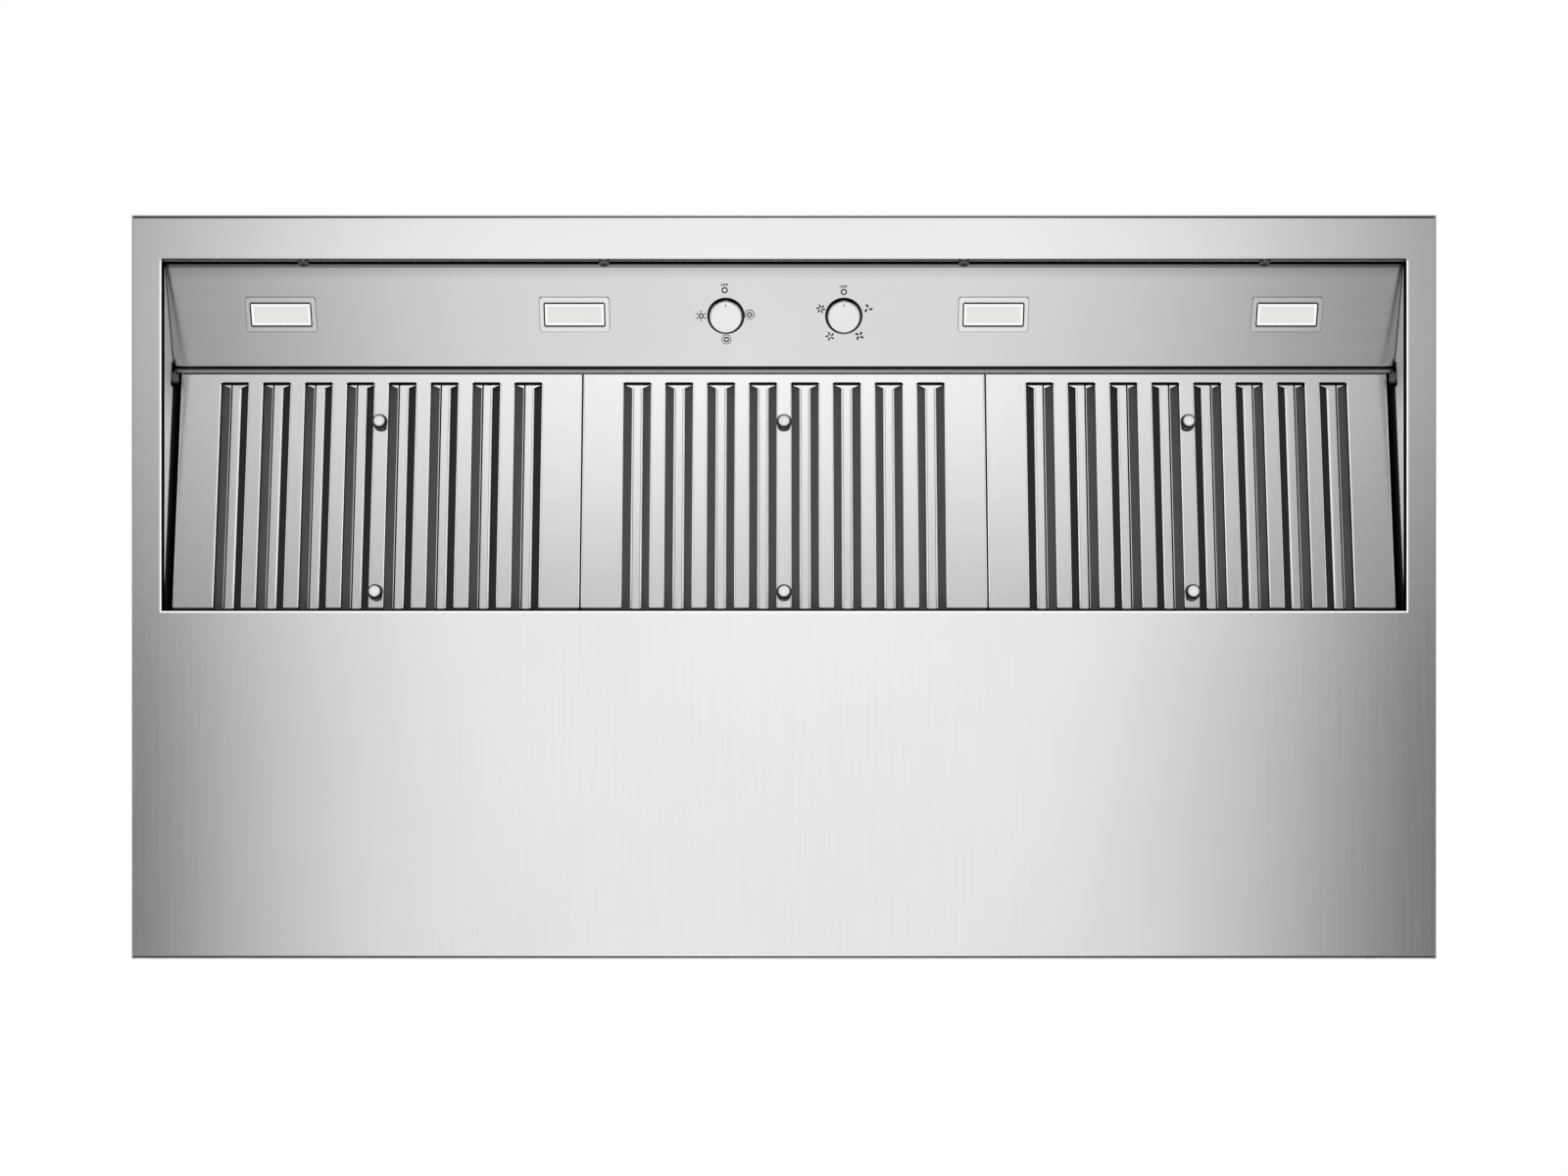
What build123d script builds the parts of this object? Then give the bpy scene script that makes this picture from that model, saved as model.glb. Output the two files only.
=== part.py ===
from build123d import *
import os
from math import acos, atan2, cos, degrees, radians, sin

# Wall mount range hood. X runs right as the user faces the wall, +Y runs to the wall and +Z up.
# The origin is the centre of the four wall bolt holes on the wall plane. Lengths are millimetres.
# Sections are drawn in (y, height above the underside of the rim), plans in (x, y).

# Canopy
WIDTH = 1219.2
DEPTH = 695.0
CANOPY_HEIGHT = 457.0
FASCIA_HEIGHT = 90.0
TOP_DEPTH = 330.0
SHEET = 1.2
OUTER_BEND = 2.4
EDGE_BEND = 1.8
RING_FLANGE = 15.0
RING_RELIEF = 6.0
COVER_FLANGE = 20.0
PAN_FLANGE = 25.0
END_NOTCH = 16.0
RIM_TO_WALL_HOLES = 250.0
WALL_HOLE_PITCH_X = 1016.0
WALL_HOLE_PITCH_Z = 300.0
WALL_HOLE_RADIUS = 4.5

# Opening in the underside
RIM_SIDE = 28.6
RIM_FRONT = 41.0
OPENING_DEPTH = 327.7
OPENING_FLANGE = 8.0
OPENING_BEND = 1.5
LIP_TILT = 70.7
LIP_LENGTH = 11.3
LIP_SCREW_SPOTS = (-450.0, -168.5, 168.5, 450.0)
LIP_SCREW_RISE = 6.0

# Liners beside the recess
LINER_HEIGHT = 72.0
LINER_FOOT = 10.0
LINER_FRONT_GAP = 5.0
LINER_BACK_REACH = 26.3

# Control panel
PANEL_FRONT_SETBACK = 4.2
PANEL_FRONT_HEIGHT = 12.0
PANEL_TILT = 20.5
PANEL_SIDE_CLEARANCE = 0.1
PANEL_LIP_REACH = 2.0
PANEL_REAR_BEND = 3.2
PANEL_RETURN = 26.9
LAMP_SLANT = 47.5
LAMP_SPOTS = {"left_outer": -475.5, "left_inner": -198.0, "right_inner": 198.0, "right_outer": 475.5}
KNOB_SLANT = 49.0
KNOB_SPOTS = {"light": -55.0, "fan": 56.6}

# Baffle filters, measured in the tilted plane of their lower faces
FILTER_EDGE_HEIGHT = 14.0
FILTER_TILT = 9.66
FILTER_SIDE_GAP = 5.75
FILTER_GAP = 1.5
FILTER_BEARING = 8.2
FILTER_BACK = 12.0
FILTER_DEPTH = 12.0
FILTER_WALL = 1.0
FILTER_BACK_LIP = 10.0
FILTER_EDGE_BEND = 1.2
SLOT_COUNT = 8
SLOT_PITCH = 40.0
SLOT_WIDTH = 26.0
SLOT_FRONT_MARGIN = 17.2
SLOT_BACK_MARGIN = 8.8
SLOT_CORNER = 2.0
SLOT_FLANGE = 5.0
SLOT_FLANGE_WALL = 0.8
BAFFLE_CROWN = 11.0
BAFFLE_SHEET = 0.8
BAFFLE_BEND = 2.4
BAFFLE_FLARE = 4.6
MESH_BOTTOM = 8.5
MESH_CLEARANCE = 0.3
FILTER_KNOB_RADIUS = 7.35
FILTER_KNOB_HEIGHT = 12.0
FILTER_KNOB_NECK = 4.8
FILTER_KNOB_NECK_HEIGHTS = (1.8, 3.0)
FILTER_KNOB_FOOT = 6.5
FILTER_KNOB_FOOT_HEIGHT = 1.0
FILTER_KNOB_RIM_HEIGHT = 4.2
FILTER_KNOB_FRONT_INSET = 38.8
FILTER_KNOB_BACK_INSET = 19.2
FILTER_STUD_RADIUS = 2.0
FILTER_STUD_HEAD = 3.5
FILTER_STUD_HEAD_HEIGHT = 1.5
FILTER_TRAVEL = 14.0

# Rails that carry the filters
TAB_SHEET = 1.0
LEDGE_OVERHANG = 3.969
LEDGE_HEM = 3.2
CHANNEL_LIP = 2.2
CHANNEL_CLEARANCE = 0.6
TAB_REACH = 13.8
TAB_DROP = 15.0
LINER_SCREW_REACH = 5.363
LINER_SCREW_DROP = 8.445
REAR_STOP_GAP = 0.3
REAR_STOP_HEIGHT = 14.0
REAR_RAIL_FOOT = 38.3
REAR_RAIL_SIDE_CLEARANCE = 0.2

# Lamps
BEZEL_LENGTH = 66.8
BEZEL_WIDTH = 34.0
BEZEL_HEIGHT = 1.5
BEZEL_CORNER = 3.0
LAMP_BODY_LENGTH = 62.0
LAMP_BODY_WIDTH = 28.0
LAMP_BODY_DEPTH = 18.0
LAMP_WALL = 1.2
LAMP_CORNER = 2.0
LAMP_CUTOUT_FIT = 0.2
LENS_LENGTH = 56.0
LENS_WIDTH = 21.6
LENS_GAP = 1.2
LENS_RECESS = 0.2
LENS_FLANGE = 1.0
LED_COUNT = 6
LED_PITCH = 9.0
LED_SIDE = 3.0
LED_HEIGHT = 0.8
BOARD_THICKNESS = 1.6
BOARD_MARGIN = 1.5

# Knobs and switches
KNOB_BASE_RADIUS = 16.75
KNOB_SKIRT_HEIGHT = 1.6
KNOB_FACE_RADIUS = 14.4
KNOB_HEIGHT = 6.4
KNOB_FACE_THICKNESS = 1.4
KNOB_CAVITY_RADIUS = 10.5
KNOB_EDGE_BEND = 0.5
KNOB_LIFT = 0.6
KNOB_DOT_OFFSET = 11.8
KNOB_DOT_RADIUS = 0.9
KNOB_DOT_DEPTH = 0.4
SHAFT_RADIUS = 3.0
KNOB_FIT = 0.03
SHAFT_FIT = 0.05
BUSHING_RADIUS = 4.7
BUSHING_LENGTH = 3.6
BUSHING_HOLE_RADIUS = 5.0
SWITCH_SIDE = 28.0
SWITCH_DEPTH = 20.0
NUT_ACROSS_FLATS = 14.0
NUT_THICKNESS = 2.0
SHAFT_BLIND_GAP = 0.2
SWITCH_CORNER = 2.0
SHAFT_DEPTH_IN_SWITCH = 15.0
TERMINAL_SIZE = (4.8, 0.8, 7.0)
TERMINAL_PITCH = (8.0, 12.0)

# Screws
LIP_SCREW_HEAD = 5.25
LIP_SCREW_HEAD_HEIGHT = 3.2
LINER_SCREW_HEAD = 6.3
LINER_SCREW_HEAD_HEIGHT = 5.0
SCREW_SHANK = 2.1
SCREW_HOLE = 2.3
LONG_SCREW = 8.0
SHORT_SCREW = 6.0
PANEL_SCREW_HEAD = 4.0
PANEL_SCREW_HEAD_HEIGHT = 2.4

# Blower
AXIS_TO_WALL = 165.0
AXIS_BELOW_TOP = 155.8
SCROLL_CENTRE_X = 230.0
SCROLL_INSIDE_WIDTH = 118.0
SCROLL_SHEET = 1.0
SCROLL_RADIUS = 90.0
SCROLL_GROWTH = 14.0
THROAT_NEAR_WALL = 16.3
SCROLL_FLANGE = 12.0
INLET_RADIUS = 59.0
INLET_RING = 4.0
WHEEL_RADIUS = 75.0
WHEEL_EYE_RADIUS = 60.0
WHEEL_WIDTH = 105.0
BLADE_COUNT = 36
BLADE_THICKNESS = 1.0
BLADE_ROOT = (61.0, 0.0)
BLADE_MIDDLE = (67.5, 0.6)
BLADE_TIP = (73.8, 6.5)
WHEEL_PLATE = 2.0
WHEEL_RING = 3.0
HUB_RADIUS = 14.0
HUB_LENGTH = 26.0
HUB_FIT = 0.03
BLOWER_SHAFT_RADIUS = 6.0
BLOWER_SHAFT_FIT = 0.05
MOTOR_RADIUS = 60.0
MOTOR_LENGTH = 130.0
MOTOR_EDGE = 8.0
MOTOR_BOSS = 20.0
MOTOR_BOSS_LENGTH = 10.0
STRAP_GAP = 0.3
STRAP_SHEET = 2.0
STRAP_WIDTH = 20.0
STRAP_SPOTS = (-40.0, 40.0)
STRAP_FOOT = 22.0

# Duct
DUCT_Y = -160.0
BASE_LENGTH = 620.0
BASE_MARGIN = 3.0
BASE_FLANGE = 20.0
TRANSITION_HEIGHT = 90.0
TRANSITION_TOP_LENGTH = 300.0
COLLAR_RADIUS = 126.0
COLLAR_HEIGHT = 60.0
COLLAR_FLANGE_RADIUS = 142.0
COLLAR_SCREW_ANGLES = (0, 40, 140, 180, 220, 320)
DAMPER_HEIGHT = 22.0
DAMPER_EDGE_GAP = 2.8
DAMPER_SHEET = 1.0
DAMPER_ROD_RADIUS = 3.0
KNUCKLE_RADIUS = 4.2
KNUCKLE_FIT = 0.05
KNUCKLE_LENGTH = 36.0
KNUCKLE_PITCH = 38.0
FLAP_STRAIGHT_GAP = 0.8
DAMPER_ROD_END_GAP = 0.05
DAMPER_STOP_SIZE = (7.0, 10.0)
DAMPER_STOP_HEIGHT = 2.0
DAMPER_STOP_REACH = 2.5
DAMPER_STOP_ANGLES = (50.0, 130.0, 230.0, 310.0)

# Electrical
KNOCKOUT_RADIUS = 11.1
BOX_LENGTH = 110.0
BOX_DEPTH = 70.0
BOX_HEIGHT = 45.0
BOX_X = 505.0
BOX_Y = -75.0
DRIVER_LENGTH = 120.0
DRIVER_DEPTH = 40.0
DRIVER_HEIGHT = 30.0
DRIVER_EDGE = 2.0
DRIVER_EARS = (150.0, 24.0, 2.0)

RIM_Z = -RIM_TO_WALL_HOLES
INSIDE_X = WIDTH / 2 - SHEET
OPENING_X = WIDTH / 2 - RIM_SIDE
OPENING_FRONT_Y = RIM_FRONT - DEPTH
OPENING_BACK_Y = OPENING_FRONT_Y + OPENING_DEPTH
LINER_X = OPENING_X + SHEET
LINER_FRONT_Y = OPENING_FRONT_Y + LINER_FRONT_GAP
LINER_BACK_Y = OPENING_BACK_Y + LINER_BACK_REACH
PANEL_FRONT = (OPENING_FRONT_Y + PANEL_FRONT_SETBACK, PANEL_FRONT_HEIGHT)
PANEL_HALF_WIDTH = OPENING_X - PANEL_SIDE_CLEARANCE
RAIL_HALF_WIDTH = LINER_X - TAB_SHEET
REAR_RAIL_FOOT_Y = OPENING_BACK_Y + REAR_RAIL_FOOT
REAR_RAIL_HALF_WIDTH = LINER_X - REAR_RAIL_SIDE_CLEARANCE
TOP_UNDERSIDE = CANOPY_HEIGHT - SHEET
INNER_BEND = EDGE_BEND - SHEET
CANOPY_OUTLINE = (
    (-DEPTH, 0),
    (-DEPTH, FASCIA_HEIGHT),
    (-TOP_DEPTH, CANOPY_HEIGHT),
    (0, CANOPY_HEIGHT),
    (0, 0),
)
FILTER_EDGE = (OPENING_BACK_Y, FILTER_EDGE_HEIGHT)
FILTER_WIDTH = (2 * OPENING_X - 2 * FILTER_SIDE_GAP - 2 * FILTER_GAP) / 3
FILTER_PITCH = FILTER_WIDTH + FILTER_GAP
FILTER_SPOTS = {"left": -FILTER_PITCH, "middle": 0.0, "right": FILTER_PITCH}
THROAT_FAR_WALL = SCROLL_GROWTH / 2 + SCROLL_RADIUS + 2 * SCROLL_GROWTH
THROAT_TOP = AXIS_BELOW_TOP
AXIS_Y = -AXIS_TO_WALL
AXIS_HEIGHT = TOP_UNDERSIDE - AXIS_BELOW_TOP
BASE_DEPTH = 2 * (AXIS_Y + THROAT_FAR_WALL + SCROLL_FLANGE + BASE_MARGIN - DUCT_Y)
COLLAR_BORE = COLLAR_RADIUS - SHEET
DAMPER_RADIUS = COLLAR_BORE - DAMPER_EDGE_GAP

os.makedirs("parts", exist_ok=True)


def plan(height):
    """Horizontal plane at a height above the rim."""
    return Plane.XY.offset(RIM_Z + height)


def section(x):
    """Upright plane across the hood; its coordinates are y and the height above the rim."""
    return Plane(origin=(x, 0, RIM_Z), x_dir=(0, 1, 0), z_dir=(1, 0, 0))


def along(point, angle, distance):
    """The point moved in a section, the angle being in degrees up from +Y."""
    return (
        point[0] + distance * cos(radians(angle)),
        point[1] + distance * sin(radians(angle)),
    )


def meeting_point(point_a, angle_a, point_b, angle_b):
    """Where two lines of a section cross, each given by a point and an angle."""
    a_y, a_z = cos(radians(angle_a)), sin(radians(angle_a))
    b_y, b_z = cos(radians(angle_b)), sin(radians(angle_b))
    gap_y, gap_z = point_b[0] - point_a[0], point_b[1] - point_a[1]
    reach = (gap_y * b_z - gap_z * b_y) / (a_y * b_z - a_z * b_y)
    return along(point_a, angle_a, reach)


def filter_point(slant, rise):
    """Section point at a distance down the filter slope and a rise square to it."""
    return along(along(FILTER_EDGE, -FILTER_TILT, slant), 90 - FILTER_TILT, rise)


def filter_slant(point):
    """How far down the filter slope a section point lies."""
    slope = radians(FILTER_TILT)
    return (point[0] - FILTER_EDGE[0]) * cos(slope) - (point[1] - FILTER_EDGE[1]) * sin(slope)


def folded_section(plane, path, bends, side, thickness=SHEET):
    """Section of a folded sheet whose one face follows the path."""
    with BuildSketch(plane) as sheet_section:
        with BuildLine():
            FilletPolyline(*path, radius=bends)
            offset(amount=thickness, side=side)
        make_face()
    return sheet_section.sketch


def round_bars(points, radius, bottom, height):
    """Upright round bars, which are also used to drill holes."""
    with BuildPart() as bars:
        with BuildSketch(plan(bottom)):
            with Locations(*points):
                Circle(radius)
        extrude(amount=height)
    return bars.part


def pan_head_screw(head_radius, head_height, shank_length, shank_radius=SCREW_SHANK):
    """Cross-recess pan-head screw, seated on the XY plane with its head up."""
    with BuildPart() as screw:
        with BuildSketch():
            Circle(head_radius)
        extrude(amount=head_height)
        fillet(screw.edges().group_by(Axis.Z)[-1], radius=head_height * 0.55)
        with BuildSketch(Plane.XY.offset(head_height)):
            Rectangle(head_radius * 0.95, head_radius * 0.2)
            Rectangle(head_radius * 0.2, head_radius * 0.95)
        extrude(amount=-head_height * 0.5, mode=Mode.SUBTRACT)
        with BuildSketch():
            Circle(shank_radius)
        extrude(amount=-shank_length)
        chamfer(screw.edges().group_by(Axis.Z)[0], length=shank_radius * 0.5)
    return screw.part


def save(part, name):
    part.label = name
    export_step(part, f"parts/{name}.step")


panel_slope = radians(PANEL_TILT)
filter_slope = radians(FILTER_TILT)
lip_slope = radians(LIP_TILT)

# The control panel's rear fold lies under the ledge that carries the filters
panel_heel = meeting_point(PANEL_FRONT, PANEL_TILT, filter_point(0, -SHEET), 180 - FILTER_TILT)
ledge_edge = filter_slant(panel_heel) - LEDGE_OVERHANG
filter_front = ledge_edge - FILTER_BEARING
filter_length = FILTER_BACK - filter_front
filter_middle = (FILTER_BACK + filter_front) / 2
slot_front = filter_front + SLOT_FRONT_MARGIN
slot_back = FILTER_BACK - SLOT_BACK_MARGIN
slot_length = slot_back - slot_front
slot_middle = (slot_back + slot_front) / 2
filter_knob_spots = (slot_front + FILTER_KNOB_FRONT_INSET, slot_back - FILTER_KNOB_BACK_INSET)
tab_back = ledge_edge + TAB_REACH
liner_screw_spot = filter_point(ledge_edge + LINER_SCREW_REACH, -LINER_SCREW_DROP)

# Looking out of the panel at the user: x right, y to the front, z towards the user
PANEL_FACE = Plane(
    origin=(0, PANEL_FRONT[0], RIM_Z + PANEL_FRONT[1]),
    x_dir=(1, 0, 0),
    z_dir=(0, sin(panel_slope), -cos(panel_slope)),
)
# x right, y down the slope to the wall, z up through the filter
FILTER_FACE = Plane(
    origin=(0, FILTER_EDGE[0], RIM_Z + FILTER_EDGE[1]),
    x_dir=(1, 0, 0),
    z_dir=(0, sin(filter_slope), cos(filter_slope)),
)
LIP_FACE = Plane(
    origin=(0, OPENING_FRONT_Y, RIM_Z),
    x_dir=(1, 0, 0),
    z_dir=(0, sin(lip_slope), -cos(lip_slope)),
)

# Screw positions seen from above
TRANSITION_SCREWS = [
    (x, DUCT_Y + side * (BASE_DEPTH + BASE_FLANGE) / 2)
    for x in (-280, -140, 0, 140, 280)
    for side in (-1, 1)
]
COLLAR_SCREWS = [
    along((0, DUCT_Y), angle, (COLLAR_RADIUS + COLLAR_FLANGE_RADIUS) / 2)
    for angle in COLLAR_SCREW_ANGLES
]
SCROLL_SCREWS = [
    (side * (SCROLL_CENTRE_X + offset_x), AXIS_Y + THROAT_FAR_WALL + SCROLL_FLANGE / 2)
    for side in (-1, 1)
    for offset_x in (-45, 45)
] + [
    (side * (SCROLL_CENTRE_X + offset_x), AXIS_Y + THROAT_NEAR_WALL - SCROLL_FLANGE / 2)
    for side in (-1, 1)
    for offset_x in (-45, 45)
]
STRAP_INNER = MOTOR_RADIUS + STRAP_GAP
STRAP_SCREWS = [
    (x, AXIS_Y + side * (STRAP_INNER + STRAP_FOOT / 2 + STRAP_SHEET))
    for x in STRAP_SPOTS
    for side in (-1, 1)
]
COVER_SCREWS = [(x, COVER_FLANGE / 2 - TOP_DEPTH) for x in (-500, -370, 370, 500)]
UNDER_SCREWS = SCROLL_SCREWS + STRAP_SCREWS
UPPER_SCREWS = TRANSITION_SCREWS + COVER_SCREWS

# Bottom pan: the flat rim and the rear panel with the opening folded up round its edge
lip_top = along((OPENING_FRONT_Y, 0), LIP_TILT, LIP_LENGTH)
lip_hidden_foot = along((OPENING_FRONT_Y, 0), LIP_TILT + 90, SHEET)
lip_root = meeting_point(lip_hidden_foot, LIP_TILT, (0, 0), 0)
with BuildPart() as bottom_pan:
    front_flange_path = ((SHEET - DEPTH, PAN_FLANGE), (SHEET - DEPTH, 0), (OPENING_FRONT_Y - SHEET, 0))
    extrude(
        folded_section(section(0), front_flange_path, OUTER_BEND, Side.LEFT),
        amount=INSIDE_X,
        both=True,
    )
    rear_flange_path = ((OPENING_BACK_Y + SHEET, 0), (-SHEET, 0), (-SHEET, PAN_FLANGE))
    extrude(
        folded_section(section(0), rear_flange_path, OUTER_BEND, Side.LEFT),
        amount=INSIDE_X,
        both=True,
    )
    with BuildSketch(plan(SHEET)):
        with Locations((0, -DEPTH / 2)):
            Rectangle(2 * INSIDE_X, DEPTH)
            Rectangle(2 * (INSIDE_X - END_NOTCH), DEPTH, mode=Mode.SUBTRACT)
    extrude(amount=PAN_FLANGE, mode=Mode.SUBTRACT)
    with BuildSketch(plan(0)):
        with Locations((0, (OPENING_FRONT_Y + OPENING_BACK_Y) / 2)):
            Rectangle(2 * INSIDE_X, OPENING_BACK_Y - OPENING_FRONT_Y + 4 * SHEET)
            Rectangle(2 * OPENING_X, OPENING_BACK_Y - OPENING_FRONT_Y, mode=Mode.SUBTRACT)
    extrude(amount=SHEET)
    with BuildSketch(plan(0)):
        with Locations((0, (OPENING_FRONT_Y + OPENING_BACK_Y + SHEET) / 2)):
            Rectangle(2 * LINER_X, OPENING_BACK_Y - OPENING_FRONT_Y + SHEET)
        with Locations((0, (OPENING_FRONT_Y + OPENING_BACK_Y) / 2)):
            Rectangle(2 * OPENING_X, OPENING_BACK_Y - OPENING_FRONT_Y, mode=Mode.SUBTRACT)
    extrude(amount=OPENING_FLANGE)
    with BuildSketch(section(0)):
        Polygon(
            (OPENING_FRONT_Y, 0),
            lip_top,
            along(lip_top, LIP_TILT + 90, SHEET),
            lip_root,
            align=None,
        )
    extrude(amount=OPENING_X, both=True)
    opening_edges = [
        edge
        for edge in bottom_pan.edges().group_by(Axis.Z)[0]
        if abs(edge.center().X) <= OPENING_X + 0.01
        and OPENING_FRONT_Y - 0.01 <= edge.center().Y <= OPENING_BACK_Y + 0.01
    ]
    fillet(opening_edges, radius=OPENING_BEND)
    with BuildSketch(LIP_FACE):
        with Locations(*[(x, -LIP_SCREW_RISE) for x in LIP_SCREW_SPOTS]):
            Circle(SCREW_HOLE)
    extrude(amount=3 * SHEET, both=True, mode=Mode.SUBTRACT)
save(bottom_pan.part, "bottom_pan")

# Side panels: plates whose edges show, with flanges welded on inside
for panel_name, side in (("left_side_panel", -1), ("right_side_panel", 1)):
    with BuildPart() as side_panel:
        with BuildSketch(section(side * WIDTH / 2)):
            Polygon(*CANOPY_OUTLINE, align=None)
        extrude(amount=-side * SHEET)
        with BuildSketch(section(side * INSIDE_X)):
            Polygon(*CANOPY_OUTLINE, align=None)
            offset(amount=-SHEET, kind=Kind.INTERSECTION, mode=Mode.REPLACE)
            offset(amount=-SHEET, kind=Kind.INTERSECTION, mode=Mode.SUBTRACT)
            with Locations(*CANOPY_OUTLINE):
                Circle(RING_RELIEF, mode=Mode.SUBTRACT)
        extrude(amount=-side * RING_FLANGE)
    save(side_panel.part, panel_name)

# Front cover: upright fascia, sloped face and a flange under the top panel
cover_slope = degrees(atan2(CANOPY_HEIGHT - FASCIA_HEIGHT, DEPTH - TOP_DEPTH))
cover_shoulder = meeting_point((-DEPTH, FASCIA_HEIGHT), cover_slope, (0, TOP_UNDERSIDE), 0)
cover_path = (
    (-DEPTH, 0),
    (-DEPTH, FASCIA_HEIGHT),
    cover_shoulder,
    (cover_shoulder[0] + COVER_FLANGE, TOP_UNDERSIDE),
)
with BuildPart() as front_cover:
    extrude(
        folded_section(section(0), cover_path, OUTER_BEND, Side.RIGHT),
        amount=INSIDE_X,
        both=True,
    )
    with BuildSketch(plan(TOP_UNDERSIDE)):
        with Locations((0, cover_shoulder[0] + OUTER_BEND + COVER_FLANGE / 2)):
            Rectangle(2 * INSIDE_X, COVER_FLANGE)
            Rectangle(2 * (INSIDE_X - END_NOTCH), COVER_FLANGE, mode=Mode.SUBTRACT)
    extrude(amount=-SHEET, mode=Mode.SUBTRACT)
    add(round_bars(COVER_SCREWS, SCREW_HOLE, TOP_UNDERSIDE - 5, 10), mode=Mode.SUBTRACT)
save(front_cover.part, "front_cover")

# Top panel with the two blower outlets, the cable knockout and the screw holes
throat_depth = THROAT_FAR_WALL - THROAT_NEAR_WALL - 2 * SCROLL_SHEET
throat_middle_y = AXIS_Y + (THROAT_FAR_WALL + THROAT_NEAR_WALL) / 2
with BuildPart() as top_panel:
    with BuildSketch(plan(TOP_UNDERSIDE)):
        with Locations((0, -TOP_DEPTH / 2)):
            Rectangle(2 * INSIDE_X, TOP_DEPTH)
        with Locations((-SCROLL_CENTRE_X, throat_middle_y), (SCROLL_CENTRE_X, throat_middle_y)):
            Rectangle(SCROLL_INSIDE_WIDTH, throat_depth, mode=Mode.SUBTRACT)
        with Locations((BOX_X, BOX_Y)):
            Circle(KNOCKOUT_RADIUS, mode=Mode.SUBTRACT)
        with Locations(*UPPER_SCREWS, *UNDER_SCREWS):
            Circle(SCREW_HOLE, mode=Mode.SUBTRACT)
    extrude(amount=SHEET)
save(top_panel.part, "top_panel")

# Back panel against the wall
wall_hole_spots = [
    (x, RIM_TO_WALL_HOLES + z)
    for x in (-WALL_HOLE_PITCH_X / 2, WALL_HOLE_PITCH_X / 2)
    for z in (-WALL_HOLE_PITCH_Z / 2, WALL_HOLE_PITCH_Z / 2)
]
with BuildPart() as back_panel:
    with BuildSketch(Plane(origin=(0, 0, RIM_Z), x_dir=(1, 0, 0), z_dir=(0, -1, 0))):
        with Locations((0, TOP_UNDERSIDE / 2)):
            Rectangle(2 * INSIDE_X, TOP_UNDERSIDE)
        with Locations(*wall_hole_spots):
            Circle(WALL_HOLE_RADIUS, mode=Mode.SUBTRACT)
    extrude(amount=SHEET)
save(back_panel.part, "back_panel")

# Liners: upright walls of the recess that stand on the pan beside the opening
liner_start = Plane(origin=(0, LINER_FRONT_Y, RIM_Z), x_dir=(1, 0, 0), z_dir=(0, -1, 0))
liner_path = ((LINER_X + LINER_FOOT, SHEET), (LINER_X, SHEET), (LINER_X, LINER_HEIGHT))
for liner_name, side in (("left_liner", -1), ("right_liner", 1)):
    with BuildPart() as liner:
        extrude(
            folded_section(liner_start, liner_path, EDGE_BEND, Side.RIGHT),
            amount=LINER_FRONT_Y - LINER_BACK_Y,
        )
        with BuildSketch(section(LINER_X)):
            with Locations(liner_screw_spot):
                Circle(SCREW_HOLE)
        extrude(amount=2 * SHEET, mode=Mode.SUBTRACT)
    liner_part = liner.part if side > 0 else mirror(liner.part, about=Plane.YZ, mode=Mode.PRIVATE)
    save(liner_part, liner_name)

# Control panel: folded behind the lip at the front and back on itself at the rear
panel_shoulder = meeting_point(lip_hidden_foot, LIP_TILT, PANEL_FRONT, PANEL_TILT)
panel_path = (
    along(lip_hidden_foot, LIP_TILT, PANEL_LIP_REACH),
    panel_shoulder,
    panel_heel,
    along(panel_heel, 180 - FILTER_TILT, PANEL_RETURN),
)
with BuildPart() as control_panel:
    extrude(
        folded_section(section(0), panel_path, (INNER_BEND, PANEL_REAR_BEND), Side.LEFT),
        amount=PANEL_HALF_WIDTH,
        both=True,
    )
    with BuildSketch(PANEL_FACE):
        with Locations(*[(x, -LAMP_SLANT) for x in LAMP_SPOTS.values()]):
            RectangleRounded(
                LAMP_BODY_LENGTH + 2 * LAMP_CUTOUT_FIT,
                LAMP_BODY_WIDTH + 2 * LAMP_CUTOUT_FIT,
                LAMP_CORNER + LAMP_CUTOUT_FIT,
            )
        with Locations(*[(x, -KNOB_SLANT) for x in KNOB_SPOTS.values()]):
            Circle(BUSHING_HOLE_RADIUS)
    extrude(amount=-2 * SHEET, mode=Mode.SUBTRACT)
    with BuildSketch(LIP_FACE):
        with Locations(*[(x, -LIP_SCREW_RISE) for x in LIP_SCREW_SPOTS]):
            Circle(SCREW_HOLE)
    extrude(amount=-4 * SHEET, mode=Mode.SUBTRACT)
save(control_panel.part, "control_panel")

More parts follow.
